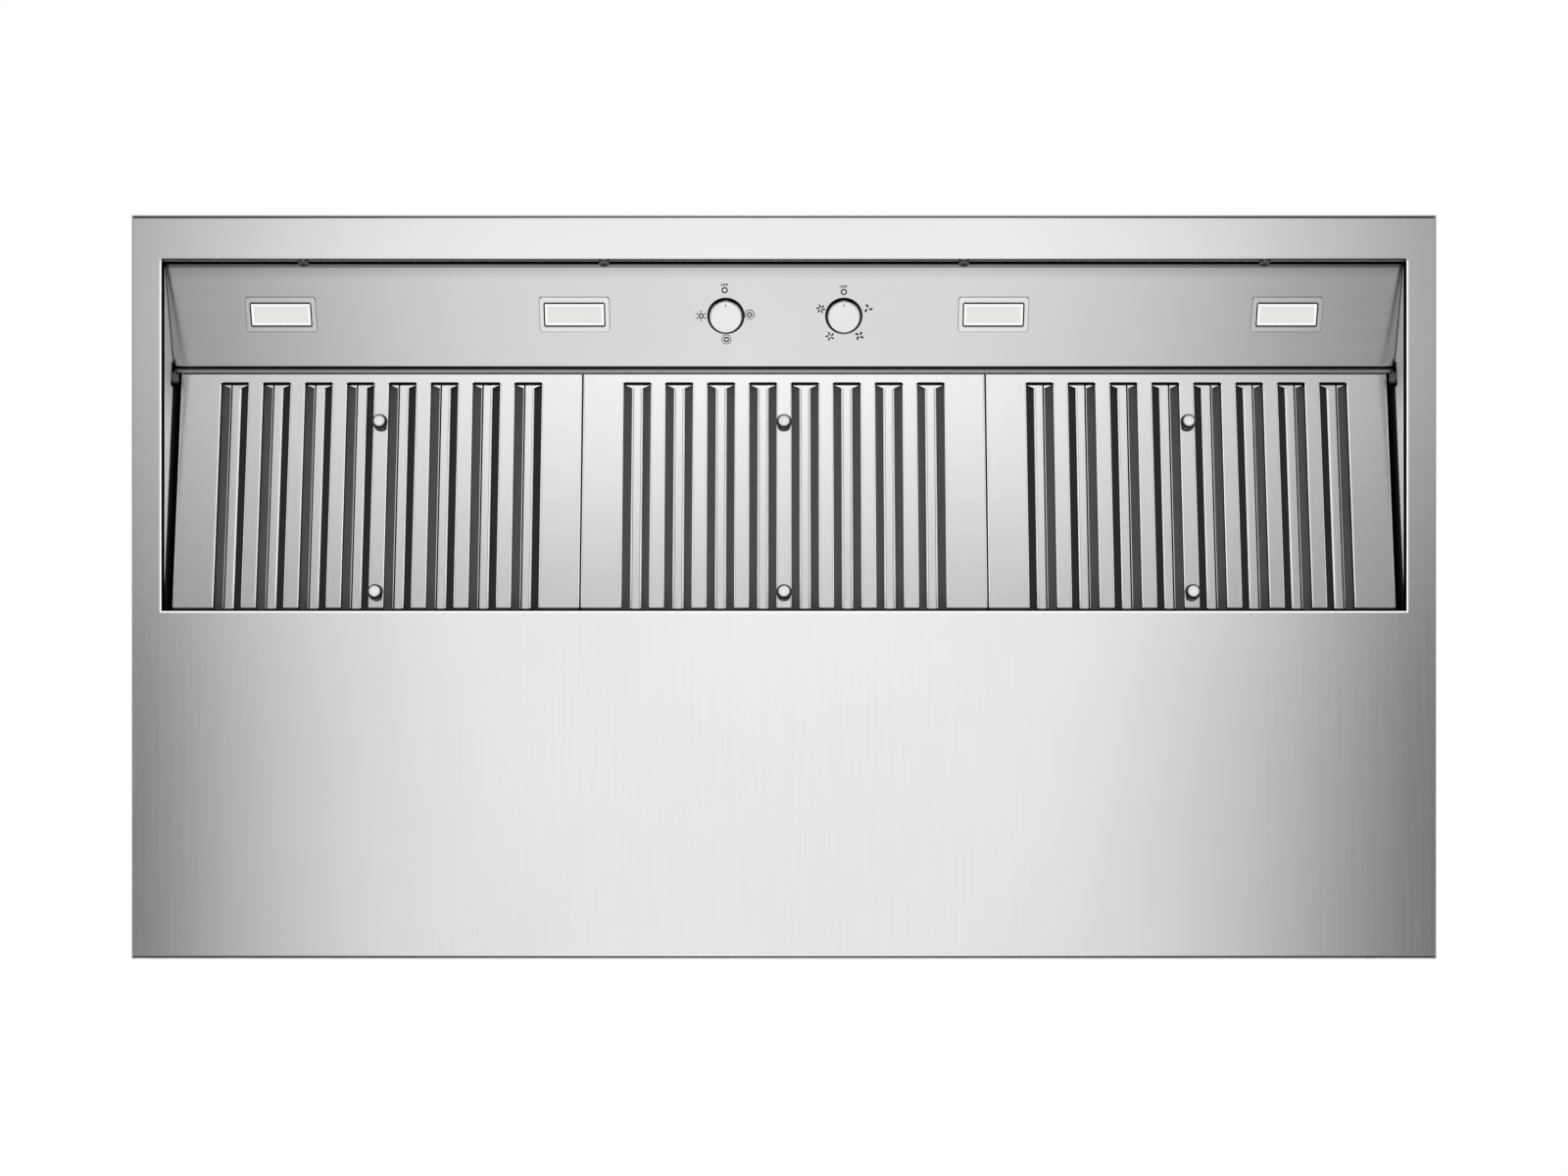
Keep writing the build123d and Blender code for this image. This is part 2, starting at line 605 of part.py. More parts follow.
# Front filter rail: a channel over the front ends of the filters, screwed to the liners
channel_front = filter_front - FILTER_TRAVEL - CHANNEL_CLEARANCE
channel_path = (
    filter_point(ledge_edge - LEDGE_HEM / 2, 0),
    filter_point(channel_front, 0),
    filter_point(channel_front, FILTER_DEPTH + CHANNEL_CLEARANCE),
    filter_point(ledge_edge - CHANNEL_LIP, FILTER_DEPTH + CHANNEL_CLEARANCE),
)
with BuildPart() as front_filter_rail:
    extrude(
        folded_section(section(0), channel_path, INNER_BEND, Side.LEFT),
        amount=RAIL_HALF_WIDTH,
        both=True,
    )
    with BuildSketch(section(0)):
        with BuildLine():
            FilletPolyline(
                filter_point(ledge_edge - LEDGE_HEM, 0),
                filter_point(ledge_edge, 0),
                filter_point(ledge_edge, -2 * SHEET),
                filter_point(ledge_edge - LEDGE_HEM, -2 * SHEET),
                radius=SHEET * 0.9,
            )
            Line(
                filter_point(ledge_edge - LEDGE_HEM, -2 * SHEET),
                filter_point(ledge_edge - LEDGE_HEM, 0),
            )
        make_face()
    extrude(amount=RAIL_HALF_WIDTH, both=True)
    for side in (-1, 1):
        with BuildSketch(section(side * RAIL_HALF_WIDTH)):
            Polygon(
                filter_point(filter_front, 0),
                filter_point(tab_back, 0),
                filter_point(tab_back, -TAB_DROP),
                filter_point(filter_front, -TAB_DROP),
                align=None,
            )
            with Locations(liner_screw_spot):
                Circle(SCREW_HOLE, mode=Mode.SUBTRACT)
        extrude(amount=side * (LINER_X - RAIL_HALF_WIDTH))
save(front_filter_rail.part, "front_filter_rail")

# Rear filter rail: stands on the pan behind the opening and stops the filters
stop_slant = FILTER_BACK + REAR_STOP_GAP
rear_rail_front_y = OPENING_BACK_Y + SHEET
rear_rail_path = (
    filter_point(stop_slant, REAR_STOP_HEIGHT),
    filter_point(stop_slant, 0),
    meeting_point(FILTER_EDGE, -FILTER_TILT, (rear_rail_front_y, 0), 90),
    (rear_rail_front_y, SHEET),
    (REAR_RAIL_FOOT_Y, SHEET),
)
with BuildPart() as rear_filter_rail:
    extrude(
        folded_section(
            section(0), rear_rail_path, (INNER_BEND, EDGE_BEND, EDGE_BEND), Side.LEFT
        ),
        amount=REAR_RAIL_HALF_WIDTH,
        both=True,
    )
save(rear_filter_rail.part, "rear_filter_rail")

# Screws on the lip and the liners
with BuildPart() as lip_screws:
    lip_screw = pan_head_screw(LIP_SCREW_HEAD, LIP_SCREW_HEAD_HEIGHT, LONG_SCREW)
    with Locations(*[LIP_FACE.location * Pos(x, -LIP_SCREW_RISE, 0) for x in LIP_SCREW_SPOTS]):
        add(lip_screw)
save(lip_screws.part, "lip_screws")

with BuildPart() as liner_screws:
    liner_screw = pan_head_screw(LINER_SCREW_HEAD, LINER_SCREW_HEAD_HEIGHT, LONG_SCREW)
    for side in (-1, 1):
        seat = Plane(
            origin=(side * RAIL_HALF_WIDTH, liner_screw_spot[0], RIM_Z + liner_screw_spot[1]),
            z_dir=(-side, 0, 0),
        )
        with Locations(seat.location):
            add(liner_screw)
save(liner_screws.part, "liner_screws")

# Screws of the top panel, the blower, the transition and the collar
transition_seat = CANOPY_HEIGHT + SHEET
collar_seat = CANOPY_HEIGHT + TRANSITION_HEIGHT + SHEET
with BuildPart() as panel_screws:
    panel_screw = pan_head_screw(PANEL_SCREW_HEAD, PANEL_SCREW_HEAD_HEIGHT, SHORT_SCREW)
    with Locations(*[Pos(x, y, RIM_Z + transition_seat) for x, y in TRANSITION_SCREWS]):
        add(panel_screw)
    with Locations(*[Pos(x, y, RIM_Z + CANOPY_HEIGHT) for x, y in COVER_SCREWS]):
        add(panel_screw)
    with Locations(*[Pos(x, y, RIM_Z + collar_seat) for x, y in COLLAR_SCREWS]):
        add(panel_screw)
    with Locations(
        *[Pos(x, y, RIM_Z + TOP_UNDERSIDE - SHEET) * Rot(180, 0, 0) for x, y in SCROLL_SCREWS]
    ):
        add(panel_screw)
    with Locations(
        *[Pos(x, y, RIM_Z + TOP_UNDERSIDE - STRAP_SHEET) * Rot(180, 0, 0) for x, y in STRAP_SCREWS]
    ):
        add(panel_screw)
save(panel_screws.part, "panel_screws")

# Baffle filter, drawn flat: y runs down the slope and z up through the filter
with BuildPart() as flat_frame:
    with BuildSketch():
        with Locations((0, filter_middle)):
            Rectangle(FILTER_WIDTH, filter_length)
    extrude(amount=FILTER_DEPTH)
    fillet(flat_frame.edges().group_by(Axis.Z)[0], radius=FILTER_EDGE_BEND)
    with BuildSketch(Plane.XY.offset(FILTER_WALL)):
        with Locations((0, filter_middle)):
            Rectangle(FILTER_WIDTH - 2 * FILTER_WALL, filter_length - 2 * FILTER_WALL)
    extrude(amount=FILTER_DEPTH - 2 * FILTER_WALL, mode=Mode.SUBTRACT)
    with BuildSketch(Plane.XY.offset(FILTER_DEPTH)):
        with Locations((0, filter_middle)):
            Rectangle(FILTER_WIDTH - 2 * FILTER_BACK_LIP, filter_length - 2 * FILTER_BACK_LIP)
    extrude(amount=-2 * FILTER_WALL, mode=Mode.SUBTRACT)
    with BuildSketch():
        with Locations((0, slot_middle)):
            with GridLocations(SLOT_PITCH, 0, SLOT_COUNT, 1):
                RectangleRounded(
                    SLOT_WIDTH + 2 * SLOT_FLANGE_WALL,
                    slot_length + 2 * SLOT_FLANGE_WALL,
                    SLOT_CORNER + SLOT_FLANGE_WALL,
                )
    extrude(amount=SLOT_FLANGE)
    with BuildSketch():
        with Locations((0, slot_middle)):
            with GridLocations(SLOT_PITCH, 0, SLOT_COUNT, 1):
                RectangleRounded(SLOT_WIDTH, slot_length, SLOT_CORNER)
        with Locations(*[(0, slant) for slant in filter_knob_spots]):
            Circle(FILTER_STUD_RADIUS + SHAFT_FIT)
    extrude(amount=SLOT_FLANGE, mode=Mode.SUBTRACT)
    slot_edges = [
        edge
        for edge in flat_frame.faces().sort_by(Axis.Z)[0].edges()
        if 2 * FILTER_STUD_RADIUS < abs(edge.center().X) < FILTER_WIDTH / 2 - 5
        and slot_front - 1 < edge.center().Y < slot_back + 1
    ]
    fillet(slot_edges, radius=FILTER_EDGE_BEND)

baffle_half = slot_length / 2 + SLOT_FLANGE_WALL
flare_outer = slot_length / 2
flare_inner = flare_outer - BAFFLE_FLARE
baffle_half_width = SLOT_WIDTH / 2 + SLOT_FLANGE_WALL
baffle_path = (
    (-BAFFLE_CROWN / 2, MESH_BOTTOM),
    (-BAFFLE_CROWN / 2, SLOT_FLANGE),
    (BAFFLE_CROWN / 2, SLOT_FLANGE),
    (BAFFLE_CROWN / 2, MESH_BOTTOM),
)
with BuildPart() as flat_baffles:
    with BuildSketch(Plane.XY.offset(SLOT_FLANGE)):
        with Locations((0, slot_middle)):
            with GridLocations(SLOT_PITCH, 0, SLOT_COUNT, 1):
                for end in (-1, 1):
                    Polygon(
                        (-BAFFLE_CROWN / 2 + BAFFLE_BEND, end * flare_inner),
                        (-baffle_half_width, end * flare_outer),
                        (-baffle_half_width, end * baffle_half),
                        (baffle_half_width, end * baffle_half),
                        (baffle_half_width, end * flare_outer),
                        (BAFFLE_CROWN / 2 - BAFFLE_BEND, end * flare_inner),
                        align=None,
                    )
    extrude(amount=BAFFLE_SHEET)
    with BuildPart(mode=Mode.PRIVATE) as crown:
        extrude(
            folded_section(Plane.XZ, baffle_path, BAFFLE_BEND, Side.LEFT, BAFFLE_SHEET),
            amount=flare_inner + BAFFLE_SHEET,
            both=True,
        )
    with Locations((0, slot_middle)):
        with GridLocations(SLOT_PITCH, 0, SLOT_COUNT, 1):
            add(crown.part)

with BuildPart() as flat_mesh:
    with BuildSketch(Plane.XY.offset(MESH_BOTTOM)):
        with Locations((0, filter_middle)):
            Rectangle(
                FILTER_WIDTH - 2 * FILTER_WALL - 2 * MESH_CLEARANCE,
                filter_length - 2 * FILTER_WALL - 2 * MESH_CLEARANCE,
            )
    extrude(amount=FILTER_DEPTH - FILTER_WALL - MESH_BOTTOM)

with BuildPart() as flat_knob:
    with BuildSketch(Plane.XZ):
        with BuildLine():
            dome = CenterArc(
                (0, FILTER_KNOB_RADIUS - FILTER_KNOB_HEIGHT), FILTER_KNOB_RADIUS, 270, 90
            )
            Polyline(
                dome @ 1,
                (FILTER_KNOB_RADIUS, -FILTER_KNOB_RIM_HEIGHT),
                (FILTER_KNOB_NECK, -FILTER_KNOB_NECK_HEIGHTS[1]),
                (FILTER_KNOB_NECK, -FILTER_KNOB_NECK_HEIGHTS[0]),
                (FILTER_KNOB_FOOT, -FILTER_KNOB_FOOT_HEIGHT),
                (FILTER_KNOB_FOOT, 0),
                (0, 0),
                dome @ 0,
            )
        make_face()
    revolve(axis=Axis.Z)
    with BuildSketch():
        Circle(FILTER_STUD_RADIUS)
    extrude(amount=FILTER_WALL)
    with BuildSketch(Plane.XY.offset(FILTER_WALL)):
        Circle(FILTER_STUD_HEAD)
    extrude(amount=FILTER_STUD_HEAD_HEIGHT)

for filter_side, centre_x in FILTER_SPOTS.items():
    seat = FILTER_FACE.location * Pos(centre_x, 0, 0)
    with BuildPart() as filter_frame:
        with Locations(seat):
            add(flat_frame.part)
    save(filter_frame.part, f"{filter_side}_filter_frame")
    with BuildPart() as filter_baffles:
        with Locations(seat):
            add(flat_baffles.part)
    save(filter_baffles.part, f"{filter_side}_filter_baffles")
    with BuildPart() as filter_mesh:
        with Locations(seat):
            add(flat_mesh.part)
    save(filter_mesh.part, f"{filter_side}_filter_mesh")
    with BuildPart() as filter_knobs:
        with Locations(*[seat * Pos(0, slant, 0) for slant in filter_knob_spots]):
            add(flat_knob.part)
    save(filter_knobs.part, f"{filter_side}_filter_knobs")

# Lamp, drawn flat with z towards the user and z = 0 on the visible face of the control panel
window_length = LENS_LENGTH + 2 * LENS_GAP
window_width = LENS_WIDTH + 2 * LENS_GAP
pocket_length = LAMP_BODY_LENGTH - 2 * LAMP_WALL
pocket_width = LAMP_BODY_WIDTH - 2 * LAMP_WALL
pocket_floor = LAMP_WALL - LAMP_BODY_DEPTH
with BuildPart() as flat_housing:
    with BuildSketch():
        RectangleRounded(BEZEL_LENGTH, BEZEL_WIDTH, BEZEL_CORNER)
    extrude(amount=BEZEL_HEIGHT)
    fillet(flat_housing.edges().group_by(Axis.Z)[-1], radius=BEZEL_HEIGHT * 0.55)
    with BuildSketch():
        RectangleRounded(LAMP_BODY_LENGTH, LAMP_BODY_WIDTH, LAMP_CORNER)
    extrude(amount=-LAMP_BODY_DEPTH)
    with BuildSketch():
        RectangleRounded(pocket_length, pocket_width, 1)
    extrude(amount=pocket_floor, mode=Mode.SUBTRACT)
    with BuildSketch(Plane.XY.offset(BEZEL_HEIGHT)):
        RectangleRounded(window_length, window_width, LAMP_CORNER)
    extrude(amount=-BEZEL_HEIGHT, mode=Mode.SUBTRACT)

with BuildPart() as flat_lens:
    with BuildSketch():
        RectangleRounded(LENS_LENGTH, LENS_WIDTH, 1.6)
    extrude(amount=BEZEL_HEIGHT - LENS_RECESS)
    with BuildSketch():
        RectangleRounded(pocket_length - 2 * MESH_CLEARANCE, pocket_width - 2 * MESH_CLEARANCE, 1)
    extrude(amount=-LENS_FLANGE)

with BuildPart() as flat_board:
    with BuildSketch(Plane.XY.offset(pocket_floor)):
        Rectangle(pocket_length - 2 * BOARD_MARGIN, pocket_width - 2 * BOARD_MARGIN)
    extrude(amount=BOARD_THICKNESS)
    with BuildSketch(Plane.XY.offset(pocket_floor + BOARD_THICKNESS)):
        with GridLocations(LED_PITCH, 0, LED_COUNT, 1):
            Rectangle(LED_SIDE, LED_SIDE)
    extrude(amount=LED_HEIGHT)

for lamp_place, centre_x in LAMP_SPOTS.items():
    seat = PANEL_FACE.location * Pos(centre_x, -LAMP_SLANT, 0)
    with BuildPart() as lamp_housing:
        with Locations(seat):
            add(flat_housing.part)
    save(lamp_housing.part, f"{lamp_place}_lamp_housing")
    with BuildPart() as lamp_lens:
        with Locations(seat):
            add(flat_lens.part)
    save(lamp_lens.part, f"{lamp_place}_lamp_lens")
    with BuildPart() as lamp_board:
        with Locations(seat):
            add(flat_board.part)
    save(lamp_board.part, f"{lamp_place}_lamp_board")

# Rotary control, drawn flat with z towards the user and z = 0 on the control panel
knob_top = KNOB_LIFT + KNOB_HEIGHT
knob_shoulder = KNOB_LIFT + KNOB_HEIGHT / 2
shaft_tip = knob_top - KNOB_FACE_THICKNESS
shaft_root = -SHEET - SHAFT_DEPTH_IN_SWITCH
with BuildPart() as flat_control_knob:
    with BuildSketch(Plane.XZ):
        with BuildLine():
            FilletPolyline(
                (0, KNOB_LIFT),
                (KNOB_BASE_RADIUS, KNOB_LIFT),
                (KNOB_BASE_RADIUS, KNOB_LIFT + KNOB_SKIRT_HEIGHT),
                (KNOB_FACE_RADIUS + KNOB_EDGE_BEND, knob_shoulder),
                (KNOB_FACE_RADIUS, knob_top),
                (0, knob_top),
                radius=KNOB_EDGE_BEND,
            )
            Line((0, knob_top), (0, KNOB_LIFT))
        make_face()
    revolve(axis=Axis.Z)
    with BuildSketch(Plane.XY.offset(KNOB_LIFT)):
        Circle(KNOB_CAVITY_RADIUS)
    extrude(amount=BUSHING_LENGTH, mode=Mode.SUBTRACT)
    with BuildSketch(Plane.XY.offset(KNOB_LIFT)):
        Circle(SHAFT_RADIUS + KNOB_FIT)
    extrude(amount=shaft_tip + SHAFT_BLIND_GAP - KNOB_LIFT, mode=Mode.SUBTRACT)
    with BuildSketch(Plane.XY.offset(knob_top)):
        with Locations((0, KNOB_DOT_OFFSET)):
            Circle(KNOB_DOT_RADIUS)
    extrude(amount=-KNOB_DOT_DEPTH, mode=Mode.SUBTRACT)

with BuildPart() as flat_shaft:
    with BuildSketch(Plane.XY.offset(shaft_root)):
        Circle(SHAFT_RADIUS)
    extrude(amount=shaft_tip - shaft_root)

with BuildPart() as flat_switch:
    with BuildSketch(Plane.XY.offset(-SHEET)):
        RectangleRounded(SWITCH_SIDE, SWITCH_SIDE, SWITCH_CORNER)
    extrude(amount=-SWITCH_DEPTH)
    with BuildSketch(Plane.XY.offset(-SHEET)):
        Circle(BUSHING_RADIUS)
    extrude(amount=SHEET + BUSHING_LENGTH)
    with BuildSketch(Plane.XY.offset(BUSHING_LENGTH)):
        Circle(SHAFT_RADIUS + SHAFT_FIT)
    extrude(amount=shaft_root - SHAFT_BLIND_GAP - BUSHING_LENGTH, mode=Mode.SUBTRACT)
    with BuildSketch(Plane.XY.offset(-SHEET - SWITCH_DEPTH)):
        with GridLocations(TERMINAL_PITCH[0], TERMINAL_PITCH[1], 3, 2):
            Rectangle(TERMINAL_SIZE[0], TERMINAL_SIZE[1])
    extrude(amount=-TERMINAL_SIZE[2])

with BuildPart() as flat_nut:
    with BuildSketch():
        RegularPolygon(NUT_ACROSS_FLATS / 2, 6, major_radius=False)
        Circle(BUSHING_RADIUS + KNOB_FIT, mode=Mode.SUBTRACT)
    extrude(amount=NUT_THICKNESS)

for control, centre_x in KNOB_SPOTS.items():
    seat = PANEL_FACE.location * Pos(centre_x, -KNOB_SLANT, 0)
    with BuildPart() as control_knob:
        with Locations(seat):
            add(flat_control_knob.part)
    save(control_knob.part, f"{control}_knob")
    with BuildPart() as switch_shaft:
        with Locations(seat):
            add(flat_shaft.part)
    save(switch_shaft.part, f"{control}_switch_shaft")
    with BuildPart() as switch:
        with Locations(seat):
            add(flat_switch.part)
    save(switch.part, f"{control}_switch")

with BuildPart() as switch_nuts:
    with Locations(
        *[PANEL_FACE.location * Pos(x, -KNOB_SLANT, 0) for x in KNOB_SPOTS.values()]
    ):
        add(flat_nut.part)
save(switch_nuts.part, "switch_nuts")


def blower_section(x):
    """Upright plane square to the blower's shaft, with its origin on the shaft."""
    return Plane(origin=(x, AXIS_Y, RIM_Z + AXIS_HEIGHT), x_dir=(0, 1, 0), z_dir=(1, 0, 0))


def scroll_outline(x, inset, top):
    """Spiral of three growing quarter arcs with a throat that rises on the wall side."""
    half = SCROLL_GROWTH / 2
    near_wall = THROAT_NEAR_WALL + inset
    far_wall = THROAT_FAR_WALL - inset
    first_radius = SCROLL_RADIUS - inset
    tongue_angle = degrees(acos((near_wall + half) / first_radius))
    with BuildSketch(blower_section(x)) as outline:
        with BuildLine():
            first = CenterArc((-half, -half), first_radius, tongue_angle, 180 - tongue_angle)
            CenterArc((half, -half), first_radius + SCROLL_GROWTH, 180, 90)
            CenterArc((half, half), first_radius + 2 * SCROLL_GROWTH, 270, 90)
            Polyline((far_wall, half), (far_wall, top), (near_wall, top), first @ 0)
        make_face()
    return outline.sketch


# Scroll housings, each with its inlet on the side away from the motor
for scroll_name, side in (("left_scroll", -1), ("right_scroll", 1)):
    centre_x = side * SCROLL_CENTRE_X
    outer_plate_x = centre_x + side * SCROLL_INSIDE_WIDTH / 2
    inner_plate_x = centre_x - side * SCROLL_INSIDE_WIDTH / 2
    with BuildPart() as scroll:
        extrude(
            scroll_outline(centre_x, 0, THROAT_TOP),
            amount=SCROLL_INSIDE_WIDTH / 2 + SCROLL_SHEET,
            both=True,
        )
        with BuildSketch(plan(TOP_UNDERSIDE)):
            with Locations((centre_x, throat_middle_y)):
                Rectangle(
                    SCROLL_INSIDE_WIDTH + 2 * SCROLL_SHEET + 2 * SCROLL_FLANGE,
                    throat_depth + 2 * SCROLL_SHEET + 2 * SCROLL_FLANGE,
                )
        extrude(amount=-SHEET)
        extrude(
            scroll_outline(centre_x, SCROLL_SHEET, THROAT_TOP + 1),
            amount=SCROLL_INSIDE_WIDTH / 2,
            both=True,
            mode=Mode.SUBTRACT,
        )
        with BuildSketch(blower_section(outer_plate_x + side * SCROLL_SHEET)):
            Circle(INLET_RADIUS + SCROLL_SHEET)
        extrude(amount=-side * (SCROLL_SHEET + INLET_RING))
        with BuildSketch(blower_section(outer_plate_x + side * SCROLL_SHEET)):
            Circle(INLET_RADIUS)
        extrude(amount=-side * (SCROLL_SHEET + INLET_RING), mode=Mode.SUBTRACT)
        with BuildSketch(blower_section(inner_plate_x - side * SCROLL_SHEET)):
            Circle(2 * BLOWER_SHAFT_RADIUS)
        extrude(amount=side * 2 * SCROLL_SHEET, mode=Mode.SUBTRACT)
        add(round_bars(SCROLL_SCREWS, SCREW_HOLE, TOP_UNDERSIDE - 4, 8), mode=Mode.SUBTRACT)
    save(scroll.part, scroll_name)

# Blower wheels: a back plate on the motor side, forward-curved blades and an end ring
blade_arc = Edge.make_three_point_arc(
    Vector(*BLADE_ROOT), Vector(*BLADE_MIDDLE), Vector(*BLADE_TIP)
)
for wheel_name, side in (("left_wheel", -1), ("right_wheel", 1)):
    plate_x = side * (SCROLL_CENTRE_X - WHEEL_WIDTH / 2)
    end_x = side * (SCROLL_CENTRE_X + WHEEL_WIDTH / 2)
    with BuildPart() as wheel:
        with BuildSketch(blower_section(plate_x)):
            Circle(WHEEL_RADIUS)
        extrude(amount=side * WHEEL_PLATE)
        with BuildSketch(blower_section(end_x)):
            Circle(WHEEL_RADIUS)
            Circle(WHEEL_EYE_RADIUS, mode=Mode.SUBTRACT)
        extrude(amount=-side * WHEEL_RING)
        with BuildSketch(blower_section(plate_x)):
            with PolarLocations(0, BLADE_COUNT):
                SlotArc(blade_arc, BLADE_THICKNESS)
        extrude(amount=side * (WHEEL_WIDTH - 1))
        with BuildSketch(blower_section(plate_x)):
            Circle(HUB_RADIUS)
        extrude(amount=side * HUB_LENGTH)
        with BuildSketch(blower_section(plate_x)):
            Circle(BLOWER_SHAFT_RADIUS + HUB_FIT)
        extrude(amount=side * HUB_LENGTH, mode=Mode.SUBTRACT)
    save(wheel.part, wheel_name)

with BuildPart() as motor:
    with BuildSketch(blower_section(0)):
        Circle(MOTOR_RADIUS)
    extrude(amount=MOTOR_LENGTH / 2, both=True)
    fillet(motor.edges(), radius=MOTOR_EDGE)
    with BuildSketch(blower_section(0)):
        Circle(MOTOR_BOSS)
    extrude(amount=MOTOR_LENGTH / 2 + MOTOR_BOSS_LENGTH, both=True)
    with BuildSketch(blower_section(0)):
        Circle(BLOWER_SHAFT_RADIUS + BLOWER_SHAFT_FIT)
    extrude(amount=MOTOR_LENGTH / 2 + MOTOR_BOSS_LENGTH, both=True, mode=Mode.SUBTRACT)
save(motor.part, "motor")

with BuildPart() as motor_shaft:
    with BuildSketch(blower_section(0)):
        Circle(BLOWER_SHAFT_RADIUS)
    extrude(amount=SCROLL_CENTRE_X - WHEEL_WIDTH / 2 + HUB_LENGTH, both=True)
save(motor_shaft.part, "motor_shaft")

# Motor bracket: two straps under the motor, joined by a plate under the top panel
with BuildPart() as motor_bracket:
    for strap_x in STRAP_SPOTS:
        with BuildSketch(blower_section(strap_x)):
            Circle(STRAP_INNER + STRAP_SHEET)
            with Locations((0, THROAT_TOP / 2)):
                Rectangle(2 * (STRAP_INNER + STRAP_SHEET), THROAT_TOP)
            Circle(STRAP_INNER, mode=Mode.SUBTRACT)
            with Locations((0, THROAT_TOP / 2)):
                Rectangle(2 * STRAP_INNER, THROAT_TOP, mode=Mode.SUBTRACT)
            for side in (-1, 1):
                with Locations((side * (STRAP_INNER + STRAP_FOOT / 2), THROAT_TOP - STRAP_SHEET / 2)):
                    Rectangle(STRAP_FOOT, STRAP_SHEET)
        extrude(amount=STRAP_WIDTH / 2, both=True)
    for side in (-1, 1):
        with BuildSketch(plan(TOP_UNDERSIDE)):
            with Locations((0, AXIS_Y + side * (STRAP_INNER + STRAP_FOOT / 2))):
                Rectangle(STRAP_SPOTS[1] - STRAP_SPOTS[0], STRAP_FOOT)
        extrude(amount=-STRAP_SHEET)
    add(round_bars(STRAP_SCREWS, SCREW_HOLE, TOP_UNDERSIDE - 5, 10), mode=Mode.SUBTRACT)
save(motor_bracket.part, "motor_bracket")

# Outlet transition over both outlets: sloping ends and a flat top that carries the collar
with BuildPart() as outlet_transition:
    with BuildSketch(plan(CANOPY_HEIGHT)):
        with Locations((0, DUCT_Y)):
            Rectangle(BASE_LENGTH + 2 * SHEET, BASE_DEPTH + 2 * SHEET)
    with BuildSketch(plan(CANOPY_HEIGHT + TRANSITION_HEIGHT)):
        with Locations((0, DUCT_Y)):
            Rectangle(TRANSITION_TOP_LENGTH + 2 * SHEET, BASE_DEPTH + 2 * SHEET)
    loft()
    with BuildSketch(plan(CANOPY_HEIGHT)):
        with Locations((0, DUCT_Y)):
            Rectangle(BASE_LENGTH + 2 * BASE_FLANGE, BASE_DEPTH + 2 * BASE_FLANGE)
    extrude(amount=SHEET)
    with BuildSketch(plan(CANOPY_HEIGHT)):
        with Locations((0, DUCT_Y)):
            Rectangle(BASE_LENGTH, BASE_DEPTH)
    with BuildSketch(plan(CANOPY_HEIGHT + TRANSITION_HEIGHT - SHEET)):
        with Locations((0, DUCT_Y)):
            Rectangle(TRANSITION_TOP_LENGTH, BASE_DEPTH)
    loft(mode=Mode.SUBTRACT)
    with BuildSketch(plan(CANOPY_HEIGHT + TRANSITION_HEIGHT)):
        with Locations((0, DUCT_Y)):
            Circle(COLLAR_BORE)
    extrude(amount=-2 * SHEET, mode=Mode.SUBTRACT)
    add(round_bars(TRANSITION_SCREWS, SCREW_HOLE, CANOPY_HEIGHT, 4), mode=Mode.SUBTRACT)
    add(round_bars(COLLAR_SCREWS, SCREW_HOLE, collar_seat - 6, 8), mode=Mode.SUBTRACT)
save(outlet_transition.part, "outlet_transition")

# Duct collar with stops for the damper flaps
collar_foot = CANOPY_HEIGHT + TRANSITION_HEIGHT
damper_axis_height = collar_foot + DAMPER_HEIGHT
flap_underside = damper_axis_height - DAMPER_SHEET / 2
with BuildPart() as duct_collar:
    with BuildSketch(plan(collar_foot)):
        with Locations((0, DUCT_Y)):
            Circle(COLLAR_FLANGE_RADIUS)
            Rectangle(2 * COLLAR_FLANGE_RADIUS, BASE_DEPTH + 2 * SHEET, mode=Mode.INTERSECT)
    extrude(amount=SHEET)
    with BuildSketch(plan(collar_foot)):
        with Locations((0, DUCT_Y)):
            Circle(COLLAR_RADIUS)
    extrude(amount=COLLAR_HEIGHT)
    with BuildSketch(plan(collar_foot)):
        with Locations((0, DUCT_Y)):
            Circle(COLLAR_BORE)
    extrude(amount=COLLAR_HEIGHT, mode=Mode.SUBTRACT)
    with BuildSketch(plan(flap_underside)):
        for angle in DAMPER_STOP_ANGLES:
            with Locations(along((0, DUCT_Y), angle, COLLAR_BORE - DAMPER_STOP_REACH)):
                Rectangle(*DAMPER_STOP_SIZE, rotation=angle)
    extrude(amount=-DAMPER_STOP_HEIGHT)
    rod_bore_plane = Plane(
        origin=(0, DUCT_Y, RIM_Z + damper_axis_height), x_dir=(0, 1, 0), z_dir=(1, 0, 0)
    )
    with BuildSketch(rod_bore_plane):
        Circle(DAMPER_ROD_RADIUS + KNUCKLE_FIT)
    extrude(amount=COLLAR_RADIUS + 1, both=True, mode=Mode.SUBTRACT)
    add(round_bars(COLLAR_SCREWS, SCREW_HOLE, collar_foot - 2, 6), mode=Mode.SUBTRACT)
save(duct_collar.part, "duct_collar")

with BuildPart() as damper_rod:
    with BuildSketch(rod_bore_plane):
        Circle(DAMPER_ROD_RADIUS)
    extrude(amount=COLLAR_RADIUS - DAMPER_ROD_END_GAP, both=True)
save(damper_rod.part, "damper_rod")

